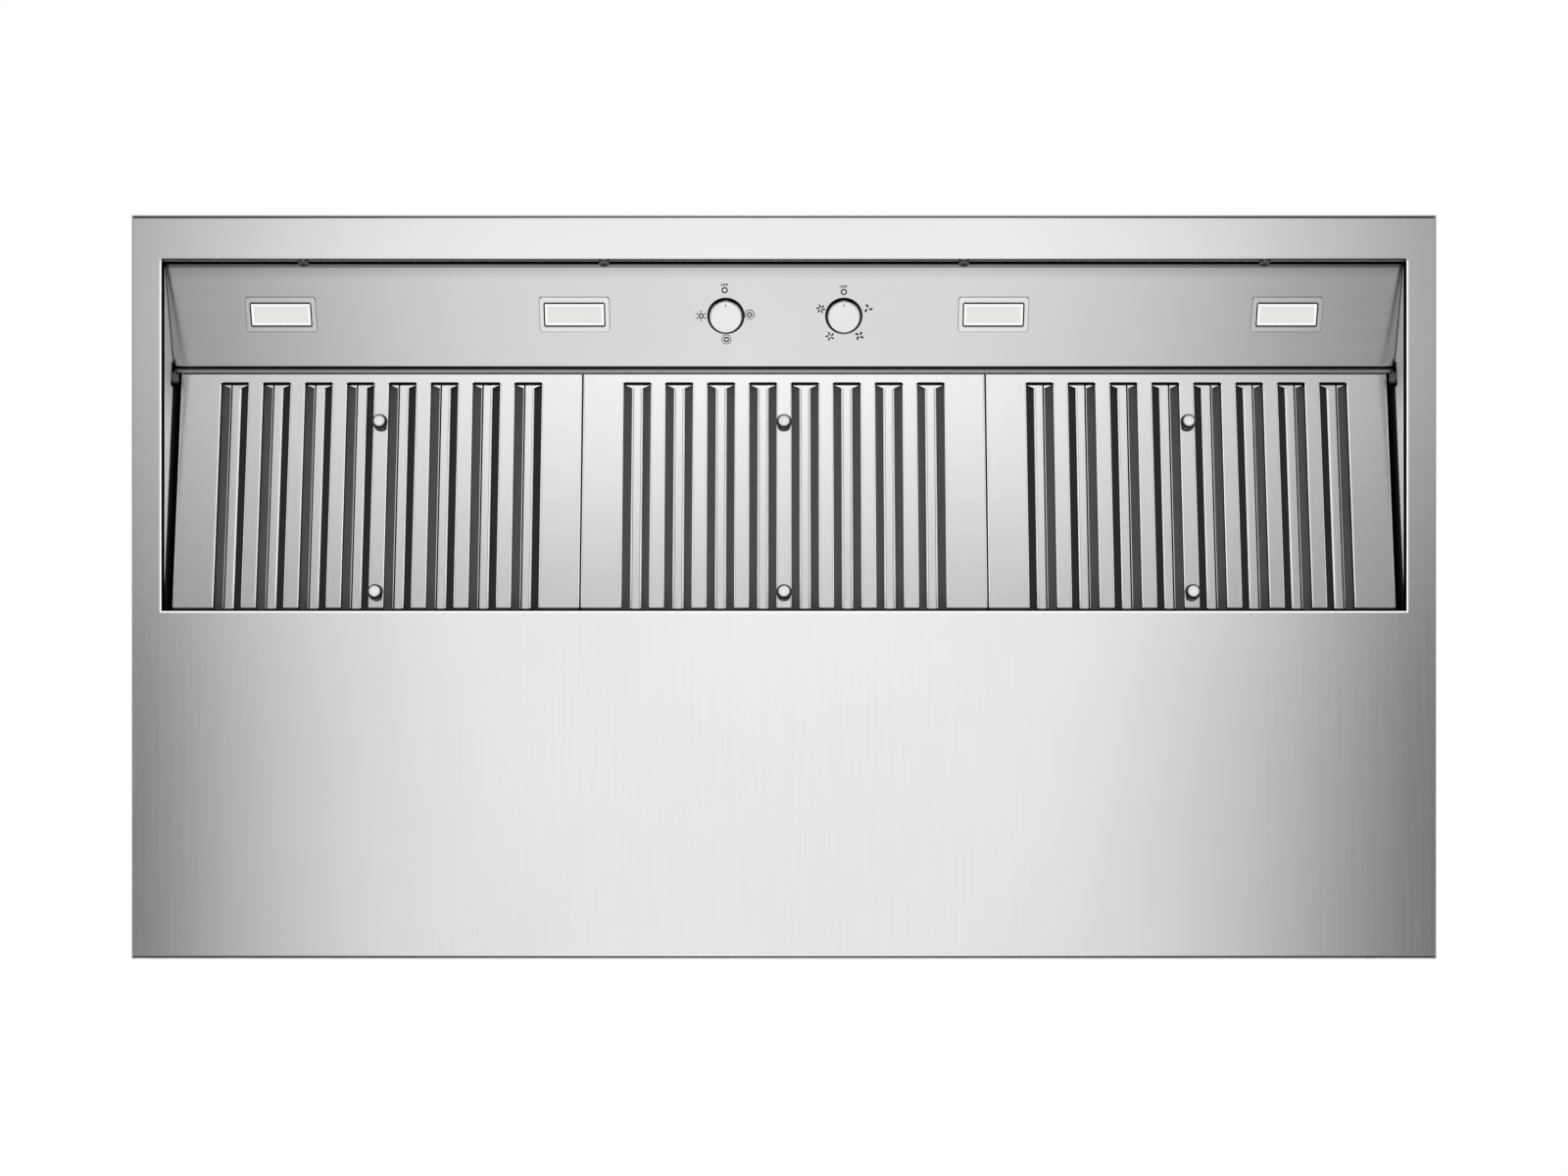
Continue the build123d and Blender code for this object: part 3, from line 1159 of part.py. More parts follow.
# Damper flaps: half discs whose knuckles take turns along the rod
knuckle_spots = {
    "front": (-2 * KNUCKLE_PITCH, 0, 2 * KNUCKLE_PITCH),
    "rear": (-KNUCKLE_PITCH, KNUCKLE_PITCH),
}
for flap_side, direction in (("front", -1), ("rear", 1)):
    with BuildPart() as damper_flap:
        with BuildSketch(plan(flap_underside)):
            with Locations((0, DUCT_Y)):
                Circle(DAMPER_RADIUS)
            with Locations((0, DUCT_Y + direction * (KNUCKLE_RADIUS + FLAP_STRAIGHT_GAP - DAMPER_RADIUS))):
                Rectangle(2 * DAMPER_RADIUS, 2 * DAMPER_RADIUS, mode=Mode.SUBTRACT)
            with Locations(
                *[(x, DUCT_Y + direction * KNUCKLE_RADIUS) for x in knuckle_spots[flap_side]]
            ):
                Rectangle(KNUCKLE_LENGTH, 2 * KNUCKLE_RADIUS)
        extrude(amount=DAMPER_SHEET)
        for knuckle_x in knuckle_spots[flap_side]:
            with BuildSketch(rod_bore_plane.offset(knuckle_x)):
                Circle(KNUCKLE_RADIUS)
            extrude(amount=KNUCKLE_LENGTH / 2, both=True)
        with BuildSketch(rod_bore_plane):
            Circle(DAMPER_ROD_RADIUS + KNUCKLE_FIT)
        extrude(amount=COLLAR_RADIUS, both=True, mode=Mode.SUBTRACT)
    save(damper_flap.part, f"{flap_side}_damper_flap")

# Junction box, its cover and the lamp driver under the top panel
with BuildPart() as junction_box:
    with BuildSketch(plan(TOP_UNDERSIDE)):
        with Locations((BOX_X, BOX_Y)):
            Rectangle(BOX_LENGTH, BOX_DEPTH)
    extrude(amount=-BOX_HEIGHT)
    with BuildSketch(plan(TOP_UNDERSIDE - SHEET)):
        with Locations((BOX_X, BOX_Y)):
            Rectangle(BOX_LENGTH - 2 * SHEET, BOX_DEPTH - 2 * SHEET)
    extrude(amount=-BOX_HEIGHT, mode=Mode.SUBTRACT)
    with BuildSketch(plan(TOP_UNDERSIDE)):
        with Locations((BOX_X, BOX_Y)):
            Circle(KNOCKOUT_RADIUS)
    extrude(amount=-2 * SHEET, mode=Mode.SUBTRACT)
save(junction_box.part, "junction_box")

with BuildPart() as junction_box_cover:
    with BuildSketch(plan(TOP_UNDERSIDE - BOX_HEIGHT)):
        with Locations((BOX_X, BOX_Y)):
            Rectangle(BOX_LENGTH, BOX_DEPTH)
    extrude(amount=-SHEET)
save(junction_box_cover.part, "junction_box_cover")

with BuildPart() as led_driver:
    with BuildSketch(plan(TOP_UNDERSIDE)):
        with Locations((-BOX_X, BOX_Y)):
            Rectangle(DRIVER_LENGTH, DRIVER_DEPTH)
    extrude(amount=-DRIVER_HEIGHT)
    fillet(led_driver.edges().group_by(Axis.Z)[0], radius=DRIVER_EDGE)
    with BuildSketch(plan(TOP_UNDERSIDE)):
        with Locations((-BOX_X, BOX_Y)):
            Rectangle(DRIVER_EARS[0], DRIVER_EARS[1])
    extrude(amount=-DRIVER_EARS[2])
save(led_driver.part, "led_driver")
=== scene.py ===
import math

import bpy
import bmesh
from mathutils import Matrix, Vector


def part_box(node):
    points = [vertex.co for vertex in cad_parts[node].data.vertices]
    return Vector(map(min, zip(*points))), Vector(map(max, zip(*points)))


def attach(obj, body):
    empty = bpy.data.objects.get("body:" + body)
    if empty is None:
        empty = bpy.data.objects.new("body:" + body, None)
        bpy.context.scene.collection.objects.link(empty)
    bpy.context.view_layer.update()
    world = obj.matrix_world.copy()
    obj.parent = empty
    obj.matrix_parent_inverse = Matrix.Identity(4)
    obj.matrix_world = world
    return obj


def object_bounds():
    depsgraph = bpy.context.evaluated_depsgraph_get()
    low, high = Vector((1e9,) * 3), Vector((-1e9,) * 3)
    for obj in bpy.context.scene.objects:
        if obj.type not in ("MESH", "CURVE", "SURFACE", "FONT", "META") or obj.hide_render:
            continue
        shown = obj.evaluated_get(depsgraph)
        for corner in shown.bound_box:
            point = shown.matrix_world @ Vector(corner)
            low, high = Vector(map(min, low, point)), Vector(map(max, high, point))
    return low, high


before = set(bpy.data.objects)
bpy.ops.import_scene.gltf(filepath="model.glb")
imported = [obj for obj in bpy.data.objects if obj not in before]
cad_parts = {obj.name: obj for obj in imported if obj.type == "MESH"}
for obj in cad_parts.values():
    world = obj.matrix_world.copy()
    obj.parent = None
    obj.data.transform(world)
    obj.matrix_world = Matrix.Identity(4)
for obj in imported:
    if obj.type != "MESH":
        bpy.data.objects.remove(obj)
cad_low, cad_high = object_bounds()

# Camera, floor and soft light, for a view straight up at the underside; lengths are metres
PHOTO_WIDTH_PX = 1600
METRES_PER_PIXEL = 0.000916
CAMERA_DROP = 2.4
RIM_Z = -0.250
CAMERA_Y = -0.3465
CAMERA_REACH = 50.0
SENSOR_MM = 36.0
FLOOR_Z = -3.9
FLOOR_HALF = 30.0
FILL_Z = -3.0
FILL_SIZE = 6.0
FILL_WATTS = 130.0

# The pan round the opening; a pair is where one painted shade or highlight ends and the next begins
OPENING_BACK_Y = -0.3263
BEND_HALF_X = 0.5822
BEND_BACK_Y = -0.3248
# Painted shade on the bends round the opening, then a band of painted highlight beside them
BEND_EDGE = (-0.0003, 0.0)
PAINTED_HIGHLIGHT_BAND = (0.0012, 0.0016)
OUTER_BEND = 0.004
LIP_BACK_Y = -0.6525
LIP_LOW_Z = RIM_Z + 0.003
LIP_HIGH_Z = RIM_Z + 0.0116
GRAIN_TURN = 0.0005

# Painted highlight and painted shade, standing in for light and shadow on the steel
# How much brighter or darker the steel is painted on bends, folded faces, the lip and in creases
PAINTED_HIGHLIGHT = 1.3
PAINTED_HIGHLIGHT_METALLIC = 0.15
OUTER_BEND_SHADE = 0.3
FOLD_SHADE = 0.03
LIP_SHADE = 1.12
PANEL_EDGE_SHADE = 0.3
PANEL_FRONT_SHADE = 0.75
LINER_FRONT_SHADE = 0.72
CREASE_SHADE = 0.05
BEZEL_SIDE_SHADE = 0.5
DOT_SHADE = 0.35
DARK_GAP_SHADE = 0.1

# How squarely a face looks out where its painted shade changes: 1 lies flat, 0 stands upright
BEND_TURN = (0.97, 0.9)
HEM_TURN = (0.95, 0.8)
LIP_TURN = (0.9, 0.7)
PAN_WALL_TURN = (0.45, 0.35)
SLOT_WALL_TURN = (0.45, 0.3)
SLOT_END_TURN = (0.15, 0.3)
BEZEL_TURN = (0.9, 0.6)
FILTER_KNOB_TURN = (0.8, 0.65)

# Filters: a point on their rear edge, the way down their slope, the way out and places of painted shade
FILTER_TILT = math.radians(9.66)
FILTER_REAR_EDGE = Vector((0.0, OPENING_BACK_Y, RIM_Z + 0.014))
FILTER_DOWN = Vector((0.0, math.cos(FILTER_TILT), -math.sin(FILTER_TILT)))
FILTER_OUT = Vector((0.0, -math.sin(FILTER_TILT), -math.cos(FILTER_TILT)))
FILTER_REAR_LINE = (-0.0022, -0.0016)
SLOT_PITCH = 0.040
STRIP_CREASE = (0.0029, 0.0045)
DARK_GAP = (-0.002, 0.002)
LINER_SHADOW = (0.004, 0.006)
LINER_FRONT_Y = (-0.55, -0.5)

# Control panel: its plane as in the CAD model, then places to the right and up from its front edge
PANEL_TILT = math.radians(20.5)
PANEL_ORIGIN = Vector((0.0, -0.6498, RIM_Z + 0.012))
LIGHT_KNOB = (-0.055, -0.049)
FAN_KNOB = (0.0566, -0.049)
# Painted shade on the panel: in its rear crease, fading in towards its front edge and in a strip along
# it
PANEL_CREASE = (-0.0985, -0.0979)
PANEL_FRONT = (-0.014, -0.003)
PANEL_EDGE = (-0.0028, -0.0022)
LAMP_SPOTS = (-0.4755, -0.198, 0.198, 0.4755)
LAMP_SLANT = 0.0475
LENS_HALF = (0.0278, 0.0103)
LENS_EDGE = (0.0018, 0.0026)
# Knobs: a ring of painted shade round each, painted shade below the shoulder and in a dot on the face
KNOB_RING = (0.0176, 0.0179)
KNOB_SHOULDER = (0.0034, 0.0039)
KNOB_DOT_OFFSET = 0.0118
KNOB_DOT = (0.0009, 0.0011)

# Marks round the knobs, in millimetres except for their height on the panel
INK_LIFT = 0.00003
INK_THICKNESS = 0.00004
MARK_LINE = 1.25
BULB_RADIUS = 2.0
OPEN_CIRCLE_RADIUS = 2.4
RAY_REACH = (3.5, 5.0)
NIGHT_RING_CENTRE = (0.0, 0.2)
NIGHT_RING_RADIUS = 4.4
NIGHT_RING_ARC = (-50.0, 230.0)
NIGHT_RING_LINE = 0.8
NIGHT_BASE_REACH = (3.5, 4.7)
NIGHT_BASE_PITCH = 1.7
NIGHT_BASE_LINE = 0.95
BLADE_OUTLINE = ((1.1, -0.3), (2.7, -0.5), (4.3, -0.4), (4.5, 0.4), (2.9, 0.55), (1.1, 0.3))
BLADE_LEAN = 0.09
WIDE_BLADE = 2.1
NARROW_BLADE = 1.6
LETTER_HEIGHT = 2.7
LETTER_WIDTH = 1.8
LETTER_GAP = 0.7
LETTER_LINE = 0.8
ROUND_LETTER_STEPS = 20
ROUND_LETTER_HALF = 0.6
ROUND_LETTER_INNER = 0.6
MIDDLE_ARM = 0.85
MIDDLE_ARM_LINE = 0.64

# Layers of scratches: their scale across and along, detail and share
SCRATCH_LAYERS = ((2200.0, 14.0, 3.0, 0.55), (260.0, 3.0, 4.0, 0.45))

# Surfaces: the values that a noise lies between, the depth of a grain, and the mesh and lenses
NOISE_RANGE = (0.3, 0.7)
GRAIN_RANGE = (0.32, 0.68)
GRAIN_DEPTH = 0.00005
SMUDGE = 0.02
WEAVE_SCALE = 190.0
WEAVE_TURN = 0.78
LENS_TINT = (1.0, 0.99, 0.965, 1.0)
LENS_EDGE_GLOW = 0.85
LENS_GLOW = 0.66

# Softbox over its rear and its front: brightness by the turn to the side, 1 being a right angle
REAR_BOX = (
    (0.0, 1.14),
    (0.07, 1.13),
    (0.09, 1.04),
    (0.11, 0.87),
    (0.125, 0.71),
    (0.135, 0.57),
    (0.15, 0.33),
    (0.162, 0.16),
    (0.18, 0.06),
    (0.5, 0.12),
    (0.72, 1.1),
)
FRONT_BOX = (
    (0.0, 1.23),
    (0.06, 1.2),
    (0.09, 1.125),
    (0.11, 1.04),
    (0.125, 0.91),
    (0.145, 0.71),
    (0.165, 0.45),
    (0.22, 0.2),
    (0.5, 0.15),
    (0.72, 1.1),
)

# Band of the softbox that the filters mirror: brightness by the way from the front to straight down
BAND = (
    (0.0, 1.14),
    (0.2, 1.14),
    (0.28, 1.08),
    (0.345, 0.82),
    (0.42, 0.34),
    (0.5, 0.32),
    (0.62, 0.66),
    (0.75, 1.0),
)
BAND_REACH = (-0.6, 0.0)

# Where the softbox changes, in slopes from straight down, and the share of light that is left
LEAST_DROP = 0.001
SOFTBOX_SHIFT = 0.008
LEFT_END = (-0.27, -0.22)
LEFT_END_LEVEL = 0.5
WALL_SIDE = (0.03, 0.15)
WALL_SIDE_LEVEL = 0.93
NEAR_EDGE = (-0.09, 0.035)
FAR_EDGE = (0.3, 0.55)

# Surround above the softbox, by the upward part of a direction
HORIZON = (-0.1, 0.0)
SURROUND_LEVEL = 0.9
BLACK = (0.0, 0.0, 0.0, 1.0)
WHITE = (1.0, 1.0, 1.0, 1.0)


# Camera
camera_data = bpy.data.cameras.new("camera")
camera = bpy.data.objects.new("camera", camera_data)
bpy.context.scene.collection.objects.link(camera)
bpy.context.scene.camera = camera
camera_data.sensor_width = SENSOR_MM
camera_data.lens = SENSOR_MM * CAMERA_DROP / METRES_PER_PIXEL / PHOTO_WIDTH_PX
camera_data.clip_end = CAMERA_REACH
camera.location = (0.0, CAMERA_Y, RIM_Z - CAMERA_DROP)
camera.rotation_euler = (math.pi, 0.0, 0.0)
bpy.context.scene.view_settings.view_transform = "Standard"


class Nodes:
    """Short way to add linked shader nodes to one tree."""

    def __init__(self, tree):
        self.tree = tree
        tree.nodes.clear()

    def add(self, kind, inputs=None, **settings):
        made = self.tree.nodes.new(kind)
        for key, value in settings.items():
            setattr(made, key, value)
        for key, value in (inputs or {}).items():
            if isinstance(value, bpy.types.NodeSocket):
                self.tree.links.new(value, made.inputs[key])
            else:
                made.inputs[key].default_value = value
        return made

    def math(self, operation, first, second=0.0):
        return self.add("ShaderNodeMath", {0: first, 1: second}, operation=operation).outputs[0]

    def least(self, first, *others):
        for other in others:
            first = self.math("MINIMUM", first, other)
        return first

    def remap(self, value, low, high, to_low, to_high):
        inputs = {"Value": value, "From Min": low, "From Max": high, "To Min": to_low, "To Max": to_high}
        return self.add("ShaderNodeMapRange", inputs).outputs["Result"]

    def mix(self, factor, first, second):
        # A mix node's sockets for colours are its inputs 6 and 7 and its output 2
        return self.add("ShaderNodeMix", {0: factor, 6: first, 7: second}, data_type="RGBA").outputs[2]

    def noise(self, place, scale, detail, roughness=0.5):
        inputs = {"Vector": place, "Scale": scale, "Detail": detail, "Roughness": roughness}
        return self.add("ShaderNodeTexNoise", inputs).outputs["Fac"]

    def ramp(self, factor, stops):
        made = self.add("ShaderNodeValToRGB", {"Fac": factor})
        ramp = made.color_ramp
        while len(ramp.elements) < len(stops):
            ramp.elements.new(0.5)
        for element, (place, level) in zip(ramp.elements, stops):
            element.position = place
            element.color = (level, level, level, 1.0)
        return made.outputs["Color"]

    def bump(self, height, strength, distance):
        inputs = {"Height": height, "Strength": strength, "Distance": distance}
        return self.add("ShaderNodeBump", inputs).outputs["Normal"]


def grey(level, warmth=0.0):
    """A grey, warm where warmth is above 0 and cold where it is below."""
    return (level * (1 + warmth), level, level * (1 - warmth), 1.0)


def new_material(name):
    """A material with its nodes, its shader and the place on the object."""
    made = bpy.data.materials.new(name)
    made.use_nodes = True
    nodes = Nodes(made.node_tree)
    shader = nodes.add("ShaderNodeBsdfPrincipled")
    output = nodes.add("ShaderNodeOutputMaterial")
    made.node_tree.links.new(shader.outputs["BSDF"], output.inputs["Surface"])
    place = nodes.add("ShaderNodeTexCoord").outputs["Object"]
    return made, nodes, shader, place


def link(nodes, value, shader, socket):
    """Feed one input of a shader."""
    nodes.tree.links.new(value, shader.inputs[socket])


def scratches(nodes, place, grain):
    """Fine and broad scratches that run along one axis, as a value near a half."""
    layers = []
    for across, along, detail, share in SCRATCH_LAYERS:
        scale = [across] * 3
        scale["XYZ".index(grain)] = along
        stretched = nodes.add("ShaderNodeMapping", {"Vector": place, "Scale": scale}).outputs[0]
        noise = nodes.noise(stretched, 1.0, detail, roughness=0.65)
        layers.append(nodes.math("MULTIPLY", noise, share))
    return nodes.math("ADD", *layers)


def facing(nodes, direction):
    """How squarely the surface faces a fixed direction of the object, from -1 to 1."""
    normal = nodes.add("ShaderNodeTexCoord").outputs["Normal"]
    inputs = {0: normal, 1: tuple(direction)}
    return nodes.add("ShaderNodeVectorMath", inputs, operation="DOT_PRODUCT").outputs["Value"]


def along_axis(nodes, place, origin, direction):
    """Distance of a point from an origin along a direction."""
    inputs = {0: place, 1: tuple(origin)}
    offset = nodes.add("ShaderNodeVectorMath", inputs, operation="SUBTRACT").outputs["Vector"]
    inputs = {0: offset, 1: tuple(direction)}
    return nodes.add("ShaderNodeVectorMath", inputs, operation="DOT_PRODUCT").outputs["Value"]


def panel_axes():
    """Right, up and outward directions of the control panel, as the user sees it."""
    right = Vector((1.0, 0.0, 0.0))
    up = Vector((0.0, -math.cos(PANEL_TILT), -math.sin(PANEL_TILT)))
    outward = Vector((0.0, math.sin(PANEL_TILT), -math.cos(PANEL_TILT)))
    return right, up, outward


def panel_matrix(x, y):
    """Placement on the control panel's face, y being measured up from its front edge."""
    right, up, outward = panel_axes()
    centre = PANEL_ORIGIN + right * x + up * y
    return Matrix(
        (
            (right.x, up.x, outward.x, centre.x),
            (right.y, up.y, outward.y, centre.y),
            (right.z, up.z, outward.z, centre.z),
            (0.0, 0.0, 0.0, 1.0),
        )
    )


def brushed_metal(name, level, roughness, grain, streak=0.03, bump=0.04, shade=None, metallic=1.0):
    """Steel rubbed in one direction; grain is the axis of its scratches, or a function for them.

    shade takes the nodes and the place on the object and gives the colour a factor of painted light.
    Above 1 the steel is painted as a dull, bright highlight; near 0 as shade that mirrors nothing.
    """
    made, nodes, shader, place = new_material(name)
    if isinstance(grain, str):
        lines = scratches(nodes, place, grain)
    else:
        lines = grain(nodes, place)
    dark = nodes.remap(lines, *GRAIN_RANGE, 1.0 - streak, 1.0 + streak)
    patch = nodes.remap(nodes.noise(place, 5.0, 3.0), *NOISE_RANGE, 1.0 - SMUDGE, 1.0 + SMUDGE)
    strength = nodes.math("MULTIPLY", dark, patch)
    shader.inputs["Metallic"].default_value = metallic
    if shade:
        factor = shade(nodes, place)
        strength = nodes.math("MULTIPLY", strength, factor)
        # Painted highlight turns the steel dull above 1; painted shade takes its reflection away near 0
        highlight_metallic = nodes.remap(factor, 1.0, PAINTED_HIGHLIGHT, metallic, PAINTED_HIGHLIGHT_METALLIC)
        link(nodes, highlight_metallic, shader, "Metallic")
        link(nodes, nodes.remap(factor, FOLD_SHADE, 0.6, 0.0, 1.0), shader, "Specular Tint")
    colour = nodes.add("ShaderNodeVectorMath", {0: (level, level, level)}, operation="SCALE")
    nodes.tree.links.new(strength, colour.inputs["Scale"])
    link(nodes, colour.outputs["Vector"], shader, "Base Color")
    shine = nodes.remap(lines, *NOISE_RANGE, roughness - 0.02, roughness + 0.03)
    link(nodes, shine, shader, "Roughness")
    link(nodes, nodes.bump(lines, bump, GRAIN_DEPTH), shader, "Normal")
    return made


def pan_grain(nodes, place):
    """Scratches along the rim at the front and sides, and to the wall on the rear panel."""
    y = nodes.add("ShaderNodeSeparateXYZ", {"Vector": place}).outputs["Y"]
    rear = nodes.remap(y, OPENING_BACK_Y - GRAIN_TURN, OPENING_BACK_Y + GRAIN_TURN, 0.0, 1.0)
    across = scratches(nodes, place, "X")
    inward = scratches(nodes, place, "Y")
    kept = nodes.math("MULTIPLY", across, nodes.math("SUBTRACT", 1.0, rear))
    return nodes.math("ADD", kept, nodes.math("MULTIPLY", inward, rear))


def pan_shade(nodes, place):
    """Painted highlight on the rim by the opening, painted shade on its bends and faces folded up inside
    it.
    """
    turn = facing(nodes, (0.0, 0.0, -1.0))
    parts = nodes.add("ShaderNodeSeparateXYZ", {"Vector": place})
    x, y, z = (parts.outputs[axis] for axis in "XYZ")
    from_middle = nodes.math("ABSOLUTE", x)
    at_side = nodes.math("GREATER_THAN", from_middle, cad_high[0] - OUTER_BEND)
    at_front = nodes.math("LESS_THAN", y, cad_low[1] + OUTER_BEND)
    at_wall = nodes.math("GREATER_THAN", y, cad_high[1] - OUTER_BEND)
    outer = nodes.math("MAXIMUM", at_side, nodes.math("MAXIMUM", at_front, at_wall))
    past_side = nodes.math("SUBTRACT", from_middle, BEND_HALF_X)
    past_edge = nodes.math("MAXIMUM", past_side, nodes.math("SUBTRACT", y, BEND_BACK_Y))
    # Painted highlight on a band beside the opening and painted shade on the bend inside it
    highlight_and_shade = nodes.least(
        nodes.remap(past_edge, *PAINTED_HIGHLIGHT_BAND, PAINTED_HIGHLIGHT, 1.0),
        nodes.remap(past_edge, *BEND_EDGE, FOLD_SHADE, PAINTED_HIGHLIGHT),
    )
    # Painted shade on the outer bends of the pan
    outer_painted_shade = nodes.remap(turn, *HEM_TURN, 1.0, OUTER_BEND_SHADE)
    bend = nodes.remap(outer, 0.0, 1.0, highlight_and_shade, outer_painted_shade)
    in_front = nodes.math("LESS_THAN", y, LIP_BACK_Y)
    # Painted shade on the bends at the front of the opening
    front_bend = nodes.remap(turn, *LIP_TURN, 1.0, FOLD_SHADE)
    bend = nodes.remap(nodes.math("SUBTRACT", in_front, at_front), 0.0, 1.0, bend, front_bend)
    # Faces folded up painted dark as shade, but the lip painted lighter and duller
    wall = nodes.remap(turn, *PAN_WALL_TURN, 0.0, 1.0)
    lip = nodes.math("MULTIPLY", in_front, nodes.math("GREATER_THAN", z, LIP_LOW_Z))
    lip = nodes.math("MULTIPLY", lip, nodes.math("LESS_THAN", z, LIP_HIGH_Z))
    wall_level = nodes.remap(lip, 0.0, 1.0, FOLD_SHADE, LIP_SHADE)
    return nodes.remap(wall, 0.0, 1.0, bend, wall_level)


def panel_reach(nodes, place, x, y):
    """Distance along the control panel from a point of its face."""
    right, up, _ = panel_axes()
    centre = panel_matrix(x, y).translation
    ways = (along_axis(nodes, place, centre, axis) for axis in (right, up))
    squares = (nodes.math("MULTIPLY", way, way) for way in ways)
    return nodes.math("SQRT", nodes.math("ADD", *squares))


def panel_shade(nodes, place):
    """Painted shade on the control panel: at its front edge, in its rear crease and in a ring round each
    knob.
    """
    up = along_axis(nodes, place, PANEL_ORIGIN, panel_axes()[1])
    shades = [
        nodes.remap(up, *PANEL_CREASE, CREASE_SHADE, 1.0),
        nodes.remap(up, *PANEL_FRONT, 1.0, PANEL_FRONT_SHADE),
        nodes.remap(up, *PANEL_EDGE, 1.0, PANEL_EDGE_SHADE),
    ]
    # A ring of painted shade round each knob
    for knob in (LIGHT_KNOB, FAN_KNOB):
        reach = panel_reach(nodes, place, *knob)
        shades.append(nodes.remap(reach, *KNOB_RING, FOLD_SHADE, 1.0))
    return nodes.least(*shades)


def rail_shade(nodes, place):
    """The ledge of the front rail, painted dark as shade round its hem."""
    return nodes.remap(facing(nodes, FILTER_OUT), *HEM_TURN, 1.0, FOLD_SHADE)


def liner_shade(nodes, place):
    """A liner painted darker at the front, lighter at the rear, and as shade where it rises by the
    filters.
    """
    y = nodes.add("ShaderNodeSeparateXYZ", {"Vector": place}).outputs["Y"]
    front = nodes.remap(y, *LINER_FRONT_Y, LINER_FRONT_SHADE, PAINTED_HIGHLIGHT)
    below = along_axis(nodes, place, FILTER_REAR_EDGE, FILTER_OUT)
    return nodes.least(front, nodes.remap(below, *LINER_SHADOW, FOLD_SHADE, PAINTED_HIGHLIGHT))


def bezel_shade(nodes, place):
    """A lamp's bezel with its sides painted dark as shade."""
    return nodes.remap(facing(nodes, panel_axes()[2]), *BEZEL_TURN, 1.0, BEZEL_SIDE_SHADE)


def filter_shade(nodes, place):
    """Painted highlight on slot edges, painted shade on slot walls and in a line at the rear edge."""
    turn = facing(nodes, FILTER_OUT)
    bend = nodes.remap(turn, *BEND_TURN, 1.0, PAINTED_HIGHLIGHT)
    wall = nodes.remap(turn, *SLOT_WALL_TURN, 0.0, 1.0)
    edge = nodes.remap(wall, 0.0, 1.0, bend, FOLD_SHADE)
    wallward = nodes.remap(facing(nodes, FILTER_DOWN), *SLOT_END_TURN, PAINTED_HIGHLIGHT, FOLD_SHADE)
    down = along_axis(nodes, place, FILTER_REAR_EDGE, FILTER_DOWN)
    line = nodes.remap(down, *FILTER_REAR_LINE, PAINTED_HIGHLIGHT, CREASE_SHADE)
    return nodes.least(edge, wallward, line)


def slot_offset(nodes, place, centre):
    """Distance to the right from the middle of the nearest slot of a filter."""
    x = nodes.add("ShaderNodeSeparateXYZ", {"Vector": place}).outputs["X"]
    pitches = nodes.math("DIVIDE", nodes.math("SUBTRACT", x, centre), SLOT_PITCH)
    from_middle = nodes.math("SUBTRACT", nodes.math("FRACT", pitches), 0.5)
    return nodes.math("MULTIPLY", from_middle, SLOT_PITCH)


def strip_shade(centre, outward):
    """Painted shade of the raised strips in a filter's slots; outward is the side of a shaded crease, or
    0.
    """

    def shade(nodes, place):
        base = filter_shade(nodes, place)
        if not outward:
            return base
        # A line of painted shade along each strip's crease on the outward side
        out = nodes.math("MULTIPLY", slot_offset(nodes, place, centre), outward)
        past = nodes.math("GREATER_THAN", out, STRIP_CREASE[0])
        crease = nodes.math("MULTIPLY", past, nodes.math("LESS_THAN", out, STRIP_CREASE[1]))
        return nodes.least(base, nodes.remap(crease, 0.0, 1.0, PAINTED_HIGHLIGHT, CREASE_SHADE))

    return shade


def filter_knob_shade(nodes, place):
    """A filter's domed knob, bright on top and painted dark as shade round its foot."""
    return nodes.remap(facing(nodes, FILTER_OUT), *FILTER_KNOB_TURN, 1.0, FOLD_SHADE)


def knob_shade(knob):
    """Control knob: painted shade on its skirt and in a dot on its face, painted highlight above the
    skirt.
    """

    def shade(nodes, place):
        outward = panel_axes()[2]
        height = along_axis(nodes, place, PANEL_ORIGIN, outward)
        skirt = nodes.remap(height, *KNOB_SHOULDER, FOLD_SHADE, PAINTED_HIGHLIGHT)
        bend = nodes.remap(facing(nodes, outward), *BEND_TURN, 1.0, PAINTED_HIGHLIGHT)
        reach = panel_reach(nodes, place, knob[0], knob[1] + KNOB_DOT_OFFSET)
        dot = nodes.remap(reach, *KNOB_DOT, DOT_SHADE, PAINTED_HIGHLIGHT)
        return nodes.least(skirt, bend, dot)

    return shade


def knob_metal(name, knob):
    """Steel of a control knob."""
    return brushed_metal(name, 0.74, 0.2, "X", streak=0.015, shade=knob_shade(knob))


def filter_metal(name, shade):
    """Steel of the filters' frames and strips."""
    return brushed_metal(name, 0.87, 0.18, "Y", streak=0.02, bump=0.02, shade=shade)


def galvanised(name, level):
    """Zinc-coated sheet with its crystal pattern."""
    made, nodes, shader, place = new_material(name)
    crystals = nodes.add("ShaderNodeTexVoronoi", {"Vector": place, "Scale": 75.0})
    tone = nodes.add("ShaderNodeSeparateColor", {"Color": crystals.outputs["Color"]}).outputs[0]
    haze = nodes.noise(place, 9.0, 4.0)
    mixed = nodes.math("ADD", nodes.math("MULTIPLY", tone, 0.7), nodes.math("MULTIPLY", haze, 0.3))
    colour = nodes.mix(mixed, grey(level * 0.82, -0.01), grey(level * 1.12, -0.01))
    link(nodes, colour, shader, "Base Color")
    link(nodes, nodes.remap(tone, 0.0, 1.0, 0.34, 0.5), shader, "Roughness")
    link(nodes, nodes.bump(crystals.outputs["Distance"], 0.08, 0.0002), shader, "Normal")
    shader.inputs["Metallic"].default_value = 0.85
    return made


